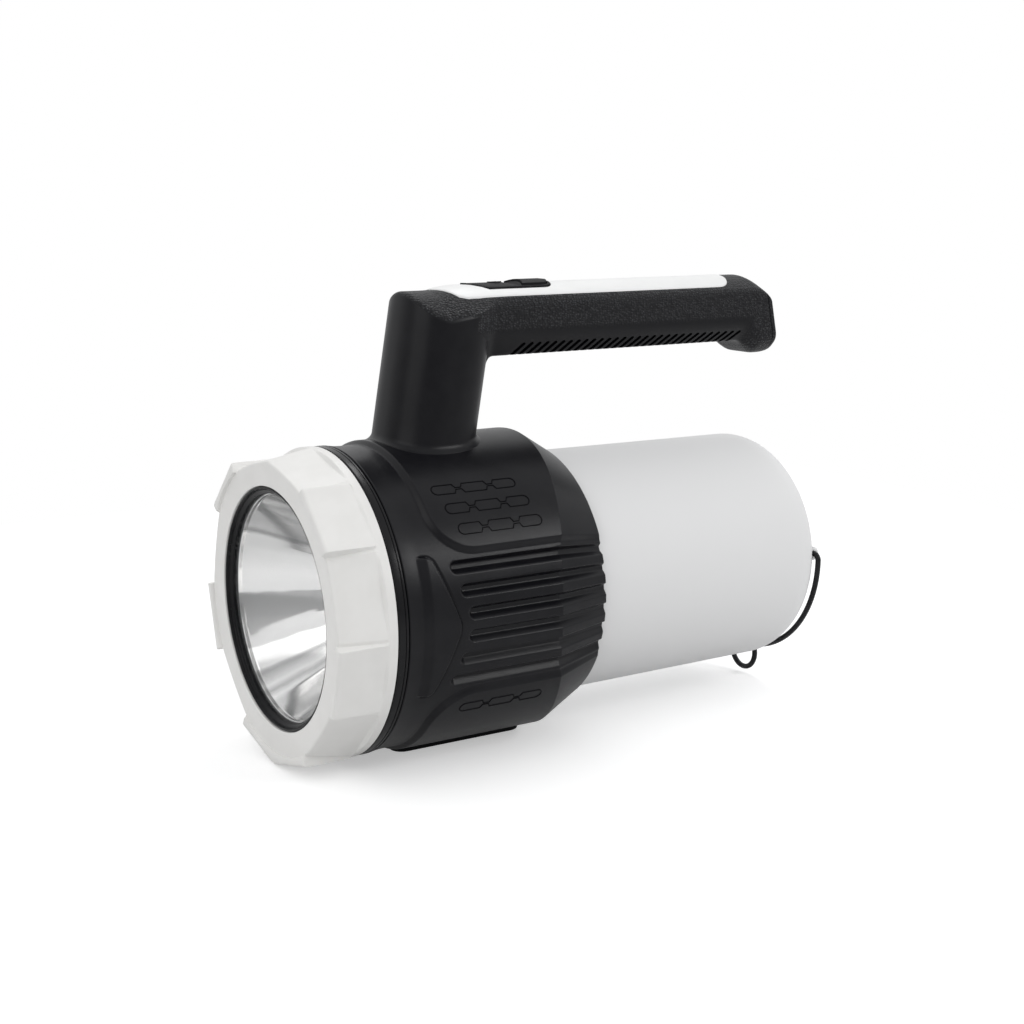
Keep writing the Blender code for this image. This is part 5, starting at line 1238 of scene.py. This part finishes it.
def joined(name, parts):
    """One mesh out of several, with doubles merged and faces turned outwards."""
    bm = bmesh.new()
    finish = parts[0].data.materials[0]
    for part in parts:
        bm.from_mesh(part.data)
        bpy.data.objects.remove(part)
    made = finished(name, bm, finish)
    for face in made.data.polygons:
        face.material_index = 0
    return made


print("helpers for trees ready")

# %% [markdown]
# Two of the trees wrap something flat round the lamp's axis, so that step is a helper as well.

# %% Wrapping inside a tree
def flat_place(tree):
    """The sockets X and Y of where a point lies before it is wrapped."""
    spot = node(tree, "GeometryNodeInputPosition").outputs[0]
    return node(tree, "ShaderNodeSeparateXYZ", None, (spot,)).outputs


def wrapped_round(tree, geometry, angle, station, radius, side=1.0):
    """Moves points to an angle, a station and a radius; side -1 mirrors them to the left."""
    out_x = math_node(tree, "MULTIPLY", math_node(tree, "SINE", angle), radius)
    out_z = math_node(tree, "MULTIPLY", math_node(tree, "COSINE", angle), radius)
    whole = node(tree, "ShaderNodeCombineXYZ", X=math_node(tree, "MULTIPLY", out_x, side),
                 Y=math_node(tree, "SUBTRACT", station, ORIGIN_STATION),
                 Z=math_node(tree, "ADD", out_z, REST_HEIGHT))
    moved = node(tree, "GeometryNodeSetPosition", Geometry=geometry, Position=whole.outputs[0])
    return moved.outputs[0]


print("wrapping ready")

# %% [markdown]
# ## Slots under the grip
# A row of slanted slots runs along each lower slope. One round-ended cutter is drawn once, and a small tree
# repeats it along a line between a first and a last place. Copying sixty cutters by hand would work too, but
# then a change of pitch means moving them all.

# %% Slot row
SLOTS = 30
SLOT_PITCH = 3.67 * MM
SLOT_FIRST = 98.4 * MM
SLOT_X = 9.6 * MM
SLOT_LEAN = math.radians(48)
LOWER_SLOPE = (5.6, 8.7)
SLOT_HALF = 0.92
SLOT_DEPTH = 1.6


def slot_row_tree():
    tree, given = new_tree("slot_row", [("Count", "Int"), ("First", "Vector"), ("Last", "Vector")])
    line = node(tree, "GeometryNodeMeshLine", {"mode": "END_POINTS"}, Count=given["Count"],
                Start_Location=given["First"], Offset=given["Last"])
    copies = node(tree, "GeometryNodeInstanceOnPoints", Points=line.outputs["Mesh"],
                  Instance=given["Geometry"])
    return ended(tree, copies.outputs["Instances"], given)


def slot_cutter(side):
    """A round-ended bar that lies on the lower slope; its origin is the slope's lower end."""
    out, up = LOWER_SLOPE
    rise = Vector((side * out, up / math.tan(SLOT_LEAN), up))
    across = Vector((0, 1, 0))
    slope = Vector((side * out, 0, up)).normalized()
    outward = Vector((side * up, 0, -out)).normalized()
    start = rise * -0.12
    run = rise * 0.62
    outline = []
    for i in range(14):
        turn = 2 * math.pi * (i + 0.5) / 14
        end = run if math.cos(turn) > 0 else Vector((0, 0, 0))
        spot = start + end + slope * math.cos(turn) * SLOT_HALF
        outline.append(spot + across * math.sin(turn) * SLOT_HALF)
    bm = bmesh.new()
    capped_skin(bm, [[(p + outward * depth) * MM for p in outline] for depth in (-SLOT_DEPTH, SLOT_DEPTH)])
    bmesh.ops.recalc_face_normals(bm, faces=bm.faces)
    mesh = bpy.data.meshes.new("slot_cutter")
    bm.to_mesh(mesh)
    bm.free()
    return mesh


slot_tree = slot_row_tree()
cutters = []
for side in (1, -1):
    first = place(side * SLOT_X, SLOT_FIRST, GRIP_BOTTOM)
    last = first + Vector((0, (SLOTS - 1) * SLOT_PITCH, 0))
    cutters.append(grown("slot_row", slot_tree, slot_cutter(side),
                         {"Count": SLOTS, "First": first, "Last": last, "Finish": groove_shade_black}))
cut_away(grip_cover, joined("slot_rows", cutters), 60)
report(grip_cover)

# %% [markdown]
# ## White strip
# A thin crowned strip runs along the top from a pointed front to a round rear end, with an opening for the
# switch pad. It is drawn as sections across, each as wide as the outline is there. The opening is cut once
# with a flat outline, because a hole is the one thing that a stack of sections can't show.

# %% White strip
STRIP_END = 205.8 * MM
STRIP_ROUND = 7.56 * MM
STRIP_STRAIGHT_END = STRIP_END - STRIP_ROUND
STRIP_THICK = 2.2 * MM
NOSE_RUN = 6.9 * MM
NOSE_HALF = 11.34 * MM
SHOULDER_RUN = 3.4 * MM
NOSE_ROWS = (0.02, 0.4, 1, 2, 3, 4.2, 5.4, 6.2, 6.9, 7.7, 8.8, 10.3, 12.5, 15, 18)


def strip_half_width(station):
    """Half the width: a straight nose, soft shoulders, straight sides, a round end."""
    ahead = station - STRIP_TIP
    shoulder = mix(NOSE_HALF, STRIP_HALF, ramp(ahead - NOSE_RUN, SHOULDER_RUN))
    wide = min(ahead / NOSE_RUN * NOSE_HALF, shoulder)
    behind = station - STRIP_STRAIGHT_END
    if behind > 0:
        wide = STRIP_HALF - STRIP_ROUND + math.sqrt(max(STRIP_ROUND ** 2 - behind ** 2, 0))
    return max(wide, 0.05 * MM)


def strip_section(station):
    wide = strip_half_width(station)
    edge = min(0.55 * MM, wide / 3)
    right = []
    for t in spread(0, math.pi / 2, 6):
        x = wide - edge + edge * math.cos(t)
        right.append((x, crown(x, station) - edge + edge * math.sin(t)))
    right += [(wide * k, crown(wide * k, station)) for k in (0.75, 0.5, 0.25)]
    upper = right + [(0.0, crown(0, station))] + [(-x, z) for x, z in reversed(right)]
    lower = [(wide * k, crown(wide * k, station) - STRIP_THICK) for k in (-1, -0.5, 0, 0.5, 1)]
    return [place(x, station, z) for x, z in upper + lower]


def strip_body():
    stations = [STRIP_TIP + d * MM for d in NOSE_ROWS] + spread(88 * MM, STRIP_STRAIGHT_END, 14)
    stations += [STRIP_STRAIGHT_END + STRIP_ROUND * math.sin(t) for t in spread(0, math.pi / 2, 12)[1:]]
    bm = bmesh.new()
    capped_skin(bm, [strip_section(s) for s in stations])
    return finished("strip_cover", bm, strip_white, 50)


strip_cover = report(strip_body())

# %% [markdown]
# The pad's outline is pointed in front like the strip, and round behind. It cuts the strip's opening, which
# is a little wider than the pad.

# %% Opening for the pad
PAD_HALF = 8.0 * MM
PAD_SHOULDER = 89.7 * MM
PAD_END = 119.6 * MM
ABOVE_HANDLE = 120 * MM


def pad_outline(grow):
    half = PAD_HALF + grow
    turn_r = half * 0.6
    centre = PAD_END + grow - turn_r
    right = [(0, PAD_TIP - grow), (half, PAD_SHOULDER)]
    for t in spread(0, math.pi / 2, 9):
        right.append((half - turn_r + turn_r * math.cos(t), centre + turn_r * math.sin(t)))
    return right + [(-x, s) for x, s in reversed(right[1:])]


pad_opening = prism("pad_opening", pad_outline(0.3 * MM), 105 * MM, ABOVE_HANDLE, strip_white)
cut_away(strip_cover, pad_opening, 50)
report(strip_cover)
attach(strip_cover, "lamp")
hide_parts("handle_strip")

# %% [markdown]
# The keys sink by 0.6 mm when they are pressed, so the post's head and the grip need a pocket under the
# pad, or their skins would show through the keys. The pad's own outline cuts it, a hair wider than the pad.

# %% Pocket under the keys
for made, source, slot in ((post, "housing", "black_plastic"), (grip_cover, "grip_shell", "grip_plastic")):
    finish = made.data.materials[0]
    cut_away(made, prism("pad_pocket", pad_outline(0.05 * MM), 111.5 * MM, ABOVE_HANDLE, finish), 60)
    report(made)
    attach(made, "lamp")
    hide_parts(source)

# %% [markdown]
# ## Switch pad, foot and port cover
# These small rubber pieces already have the right shapes in the solids. A copy of each is merged into a
# proper surface and its hard edges get a small bevel, as rubber comes out of a mould with soft edges.

# %% Softened copies
def softened(name, source, finish, width, body):
    """A copy of a solid with bevelled edges of the given width, in the solid's place."""
    bm = bmesh.new()
    bm.from_mesh(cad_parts[source].data)
    bmesh.ops.remove_doubles(bm, verts=bm.verts, dist=0.001 * MM)
    bmesh.ops.dissolve_limit(bm, angle_limit=math.radians(2), verts=bm.verts, edges=bm.edges)
    made = finished(name, bm, finish, 30)
    bevel = made.modifiers.new("soft_edges", "BEVEL")
    bevel.width = width
    bevel.segments = 3
    bevel.limit_method = "ANGLE"
    bevel.angle_limit = math.radians(35)
    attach(made, body)
    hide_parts(source)
    return report(made)


softened("pad_frame", "switch_frame", soft_rubber, 0.25 * MM, "lamp")
softened("power_key", "power_button", soft_rubber, 0.25 * MM, "power_button")
softened("mode_key", "mode_button", soft_rubber, 0.4 * MM, "mode_button")
softened("foot_rubber", "foot_pad", soft_rubber, 0.5 * MM, "lamp")
softened("port_flap", "port_cover", soft_rubber, 0.3 * MM, "port_cover")

# %% [markdown]
# The front key carries the usual sign of a power switch, an open ring with a bar, raised a little from the
# rubber. A thin tube laid on the key's top along the sign's line gives it.

# %% Power sign
SIGN_MIDDLE = 96.6 * MM
SIGN_R = 2.5 * MM
SIGN_GAP = 0.65
SIGN_LIFT = 0.3 * MM
SIGN_LINE = 0.28 * MM


def power_sign():
    turns = spread(SIGN_GAP, 2 * math.pi - SIGN_GAP, 30)
    arc = [(SIGN_R * math.sin(t), SIGN_MIDDLE + SIGN_R * math.cos(t)) for t in turns]
    bar = [(0, SIGN_MIDDLE + d * SIGN_R) for d in spread(0.25, 1.3, 4)]
    bm = bmesh.new()
    for line in (arc, bar):
        tube(bm, [place(x, s, crown(x) + SIGN_LIFT) for x, s in line], SIGN_LINE, Vector((0, 0, 1)))
    return finished("power_sign", bm, soft_rubber)


sign = report(power_sign())
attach(sign, "power_button")

# %% [markdown]
# ## Engraved chains
# Thin engraved outlines decorate the saddles on each side, three rows above and one row below: long
# capsules joined by narrow necks. The outline of one row is drawn flat, and a tree repeats it in rows, wraps
# it round the body and gives the line its thickness. Engraving the grid itself would need far finer faces.
# The line is a tube of darker, duller black than the body: painted shade for the inside of a thin groove.

# %% Chain tree
def chain_tree():
    tree, given = new_tree("engraved_chains", [
        ("Rows", "Int"), ("First", "Vector"), ("Step", "Vector"), ("Body Radius", "Float"),
        ("Side", "Float"), ("Line", "Float")])
    rows = node(tree, "GeometryNodeMeshLine", Count=given["Rows"], Start_Location=given["First"],
                Offset=given["Step"])
    outline = node(tree, "GeometryNodeMeshToCurve", Mesh=given["Geometry"])
    copies = node(tree, "GeometryNodeInstanceOnPoints", Points=rows.outputs["Mesh"],
                  Instance=outline.outputs["Curve"])
    flat = node(tree, "GeometryNodeRealizeInstances", None, (copies.outputs["Instances"],))
    spot = flat_place(tree)
    radius = given["Body Radius"]
    angle = math_node(tree, "DIVIDE", spot["X"], radius)
    wrap = wrapped_round(tree, flat.outputs[0], angle, spot["Y"], radius, given["Side"])
    thread = node(tree, "GeometryNodeCurvePrimitiveCircle", Resolution=6, Radius=given["Line"])
    swept = node(tree, "GeometryNodeCurveToMesh", Curve=wrap, Profile_Curve=thread.outputs["Curve"])
    return ended(tree, swept.outputs["Mesh"], given)


chain_rows = chain_tree()
print("chain tree with", len(chain_rows.nodes), "nodes")

# %% [markdown]
# One row is a loop of edges: three capsules with round outer ends and two necks between them. It is drawn
# along its upper side and mirrored to the lower one.

# %% Chains on both saddles
CAPSULE_HALF = 2.1 * MM
NECK_HALF = 0.42 * MM
NECK_LINE = ((0.0, CAPSULE_HALF), (0.9, NECK_HALF), (3.3, NECK_HALF), (4.2, CAPSULE_HALF))
NECK_STARTS = (9.1, 22.4)
CHAIN_LENGTH = 35.4 * MM
CHAIN_STEP = (math.radians(8.2), 2.3 * MM)
CHAIN_LINE = 0.25 * MM


def chain_outline():
    round_end = [(CAPSULE_HALF * math.cos(t), CAPSULE_HALF * math.sin(t)) for t in spread(0, math.pi / 2, 6)]
    upper = [(CAPSULE_HALF - s, u) for s, u in round_end]
    for start in NECK_STARTS:
        upper += [((start + ahead) * MM, half) for ahead, half in NECK_LINE]
    upper += [(CHAIN_LENGTH - CAPSULE_HALF + s, u) for s, u in reversed(round_end)]
    points = upper + [(s, -u) for s, u in reversed(upper[1:-1])]
    mesh = bpy.data.meshes.new("chain_outline")
    count = len(points)
    mesh.from_pydata([(u, s, 0) for s, u in points], [(i, (i + 1) % count) for i in range(count)], [])
    return mesh


saddle_r = HOUSING_R + SADDLE_LIFT
chains = []
for side in (1.0, -1.0):
    for rows, angle, station in ((3, 39.5, 46.9), (1, 124.1, 51.5)):
        start = Vector((math.radians(angle) * saddle_r, station * MM, 0))
        step = Vector((CHAIN_STEP[0] * saddle_r, CHAIN_STEP[1], 0))
        chains.append(grown("chain_rows", chain_rows, chain_outline(), {
            "Rows": rows, "First": start, "Step": step, "Body Radius": saddle_r, "Side": side,
            "Line": CHAIN_LINE, "Finish": groove_shade_black}))
engraved_chains = report(joined("engraved_chains", chains))
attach(engraved_chains, "lamp")

# %% [markdown]
# ## Lantern dome
# The milky dome follows one rule from end to end: a slightly tapering wall, a quarter of an ellipse, and a
# flat end. That makes it a good main piece for Geometry Nodes: a plain grid whose two directions become the
# turn round the axis and the way along the outline. The wall's thickness is given afterwards.

# %% Dome tree
DOME_SIZES = ("Front Station", "Bend Station", "End Station", "Front Radius", "Rear Radius", "Round Radius")


def dome_tree():
    """The way along the outline goes from 0 to 3: the wall up to 1, the round up to 2, then the end."""
    sockets = [("Columns", "Int"), ("Rows", "Int")] + [(name, "Float") for name in DOME_SIZES]
    tree, given = new_tree("lantern_dome", sockets)
    front, turning, end, front_r, rear_r, round_r = (given[name] for name in DOME_SIZES)
    grid = node(tree, "GeometryNodeMeshGrid", Size_X=1.0, Size_Y=1.0, Vertices_X=given["Columns"],
                Vertices_Y=given["Rows"])
    spot = flat_place(tree)

    def op(kind, a, b=0.0):
        return math_node(tree, kind, a, b)

    def limited(value):
        return op("MINIMUM", op("MAXIMUM", value, 0.0), 1.0)

    turn = op("MULTIPLY", op("ADD", spot["X"], 0.5), 2 * math.pi)
    way = op("MULTIPLY", op("ADD", spot["Y"], 0.5), 3.0)
    wall = limited(way)
    bow = op("MULTIPLY", limited(op("SUBTRACT", way, 1.0)), math.pi / 2)
    face = limited(op("SUBTRACT", way, 2.0))
    straight = op("MULTIPLY", op("SUBTRACT", turning, front), wall)
    hump = op("MULTIPLY", op("SUBTRACT", end, turning), op("SINE", bow))
    station = op("ADD", op("ADD", front, straight), hump)
    taper = op("MULTIPLY", op("SUBTRACT", rear_r, front_r), wall)
    inward = op("MULTIPLY", round_r, op("SUBTRACT", 1.0, op("COSINE", bow)))
    open_r = op("SUBTRACT", op("ADD", front_r, taper), inward)
    radius = op("MULTIPLY", open_r, op("SUBTRACT", 1.0, face))
    return ended(tree, wrapped_round(tree, grid.outputs["Mesh"], turn, station, radius), given)


dome_rule = dome_tree()
print("dome tree with", len(dome_rule.nodes), "nodes")

# %% [markdown]
# The tree makes its own grid, so it starts from an empty mesh. The merged skin may come out with its faces
# inwards. They are turned then, because the wall is thickened against them, towards the inside.

# %% Dome
dome_part = grown("dome", dome_rule, bpy.data.meshes.new("dome_start"), {
    "Columns": 145, "Rows": 73, "Front Station": 100.1 * MM, "Bend Station": 215.7 * MM,
    "End Station": 230.0 * MM, "Front Radius": 48.95 * MM, "Rear Radius": 48.05 * MM,
    "Round Radius": 14.7 * MM, "Finish": dome_milky})
dome = joined("lantern_dome", [dome_part])
outward = sum((f.normal.x * f.center.x for f in dome.data.polygons), 0.0) > 0
if not outward:
    dome.data.flip_normals()
wall = dome.modifiers.new("wall", "SOLIDIFY")
wall.thickness = 2.0 * MM
wall.offset = -1.0
print("dome faces outward:", outward)
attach(dome, "lamp")
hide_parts("diffuser")

# %% [markdown]
# A round boss on each side of the dome's end holds the bail. Each is a short turned piece whose axis lies
# across the lamp.

# %% Bosses that hold the bail
BAIL_STATION = 227.0 * MM
PIVOT_Z = 2.3 * MM
BOSS_LINE = in_mm((36.4, 2.8), (43.1, 2.8), (43.6, 2.3), (43.6, 1.5), (37.7, 1.5))


def bosses():
    bm = bmesh.new()
    turns = [(math.cos(t), math.sin(t)) for t in even_turn(28)]
    for side in (1, -1):
        rings = []
        for x, r in BOSS_LINE:
            rings.append([place(side * x, BAIL_STATION + r * c, PIVOT_Z + r * s) for c, s in turns])
        capped_skin(bm, rings)
    return finished("bail_bosses", bm, dome_milky, 50)


bail_bosses = report(bosses())
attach(bail_bosses, "lamp")
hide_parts("diffuser")

# %% [markdown]
# ## Hanging bail
# A coated wire hugs the lower rear of the dome, turns into two holes at its ends and dips into a small eye
# in the middle, so the light can hang from a hook. The wire's middle line is drawn as straight stubs and
# arcs, and a round section is swept along it.

# %% Bail
BAIL_R = 46.2 * MM
WIRE_R = 1.15 * MM
ELBOW_R = 2.6 * MM
EYE_R = 7.6 * MM
NECK_R = 3.0 * MM
EYE_DROP = BAIL_R + 3.7 * MM
STUB = in_mm((38.0, 2.3), (41.0, 2.3))


def arc(middle_x, middle_z, radius, start, end, count):
    """Points of an arc, as (x, height) in a plane across the lamp."""
    turns = spread(start, end, count)
    return [(middle_x + radius * math.cos(t), middle_z + radius * math.sin(t)) for t in turns]


def bail_line():
    """Right half of the wire's middle line: stub, elbow, hoop, neck and eye; the arcs touch smoothly."""
    outer = BAIL_R + NECK_R
    reach = EYE_R + NECK_R
    neck_z = -(outer ** 2 - reach ** 2 + EYE_DROP ** 2) / (2 * EYE_DROP)
    neck_x = math.sqrt(outer ** 2 - neck_z ** 2)
    hoop_end = math.atan2(neck_z, neck_x)
    neck_end = math.atan2(neck_z + EYE_DROP, neck_x)
    line = STUB + arc(BAIL_R - ELBOW_R, PIVOT_Z - ELBOW_R, ELBOW_R, math.pi / 2, 0, 9)
    line += arc(0, 0, BAIL_R, 0, hoop_end, 48)[1:]
    line += arc(neck_x, neck_z, NECK_R, math.atan2(-neck_z, -neck_x), math.pi + neck_end, 12)[1:]
    return line + arc(0, -EYE_DROP, EYE_R, neck_end, -math.pi / 2, 20)[1:]


def bail_body():
    right = bail_line()
    whole = right + [(-x, z) for x, z in reversed(right[:-1])]
    bm = bmesh.new()
    tube(bm, [place(x, BAIL_STATION, z) for x, z in whole], WIRE_R, Vector((0, 1, 0)), 16)
    return finished("bail_wire", bm, wire_black, 50)


bail_wire = report(bail_body())
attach(bail_wire, "hanging_bail")
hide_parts("hanging_bail")

# %% [markdown]
# ## Inner pieces
# The remaining solids keep their shapes and only get their finishes.

# %% Finishes of the kept solids
KEPT = (
    (board_white, ("spot_board", "lantern_board")),
    (phosphor_yellow, ("spot_led",)),
    (turned_aluminium, ("heat_sink",)),
    (inner_black, ("battery_holder", "power_switch", "mode_switch", "power_plunger", "mode_plunger")),
    (cell_blue, ("battery_cell_1", "battery_cell_2", "battery_cell_3")),
    (board_green, ("driver_board", "charge_board", "switch_board")),
    (bezel_white, ("lantern_base",)),
    (bright_steel, ("cover_pin", "charge_socket", "base_screw_1", "base_screw_2", "base_screw_3")),
    (soft_rubber, ("charge_lead", "switch_lead")))
for finish, names in KEPT:
    for name in names:
        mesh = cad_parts[name].data
        mesh.materials.clear()
        mesh.materials.append(finish)
print("kept solids:", sum(len(names) for _, names in KEPT))
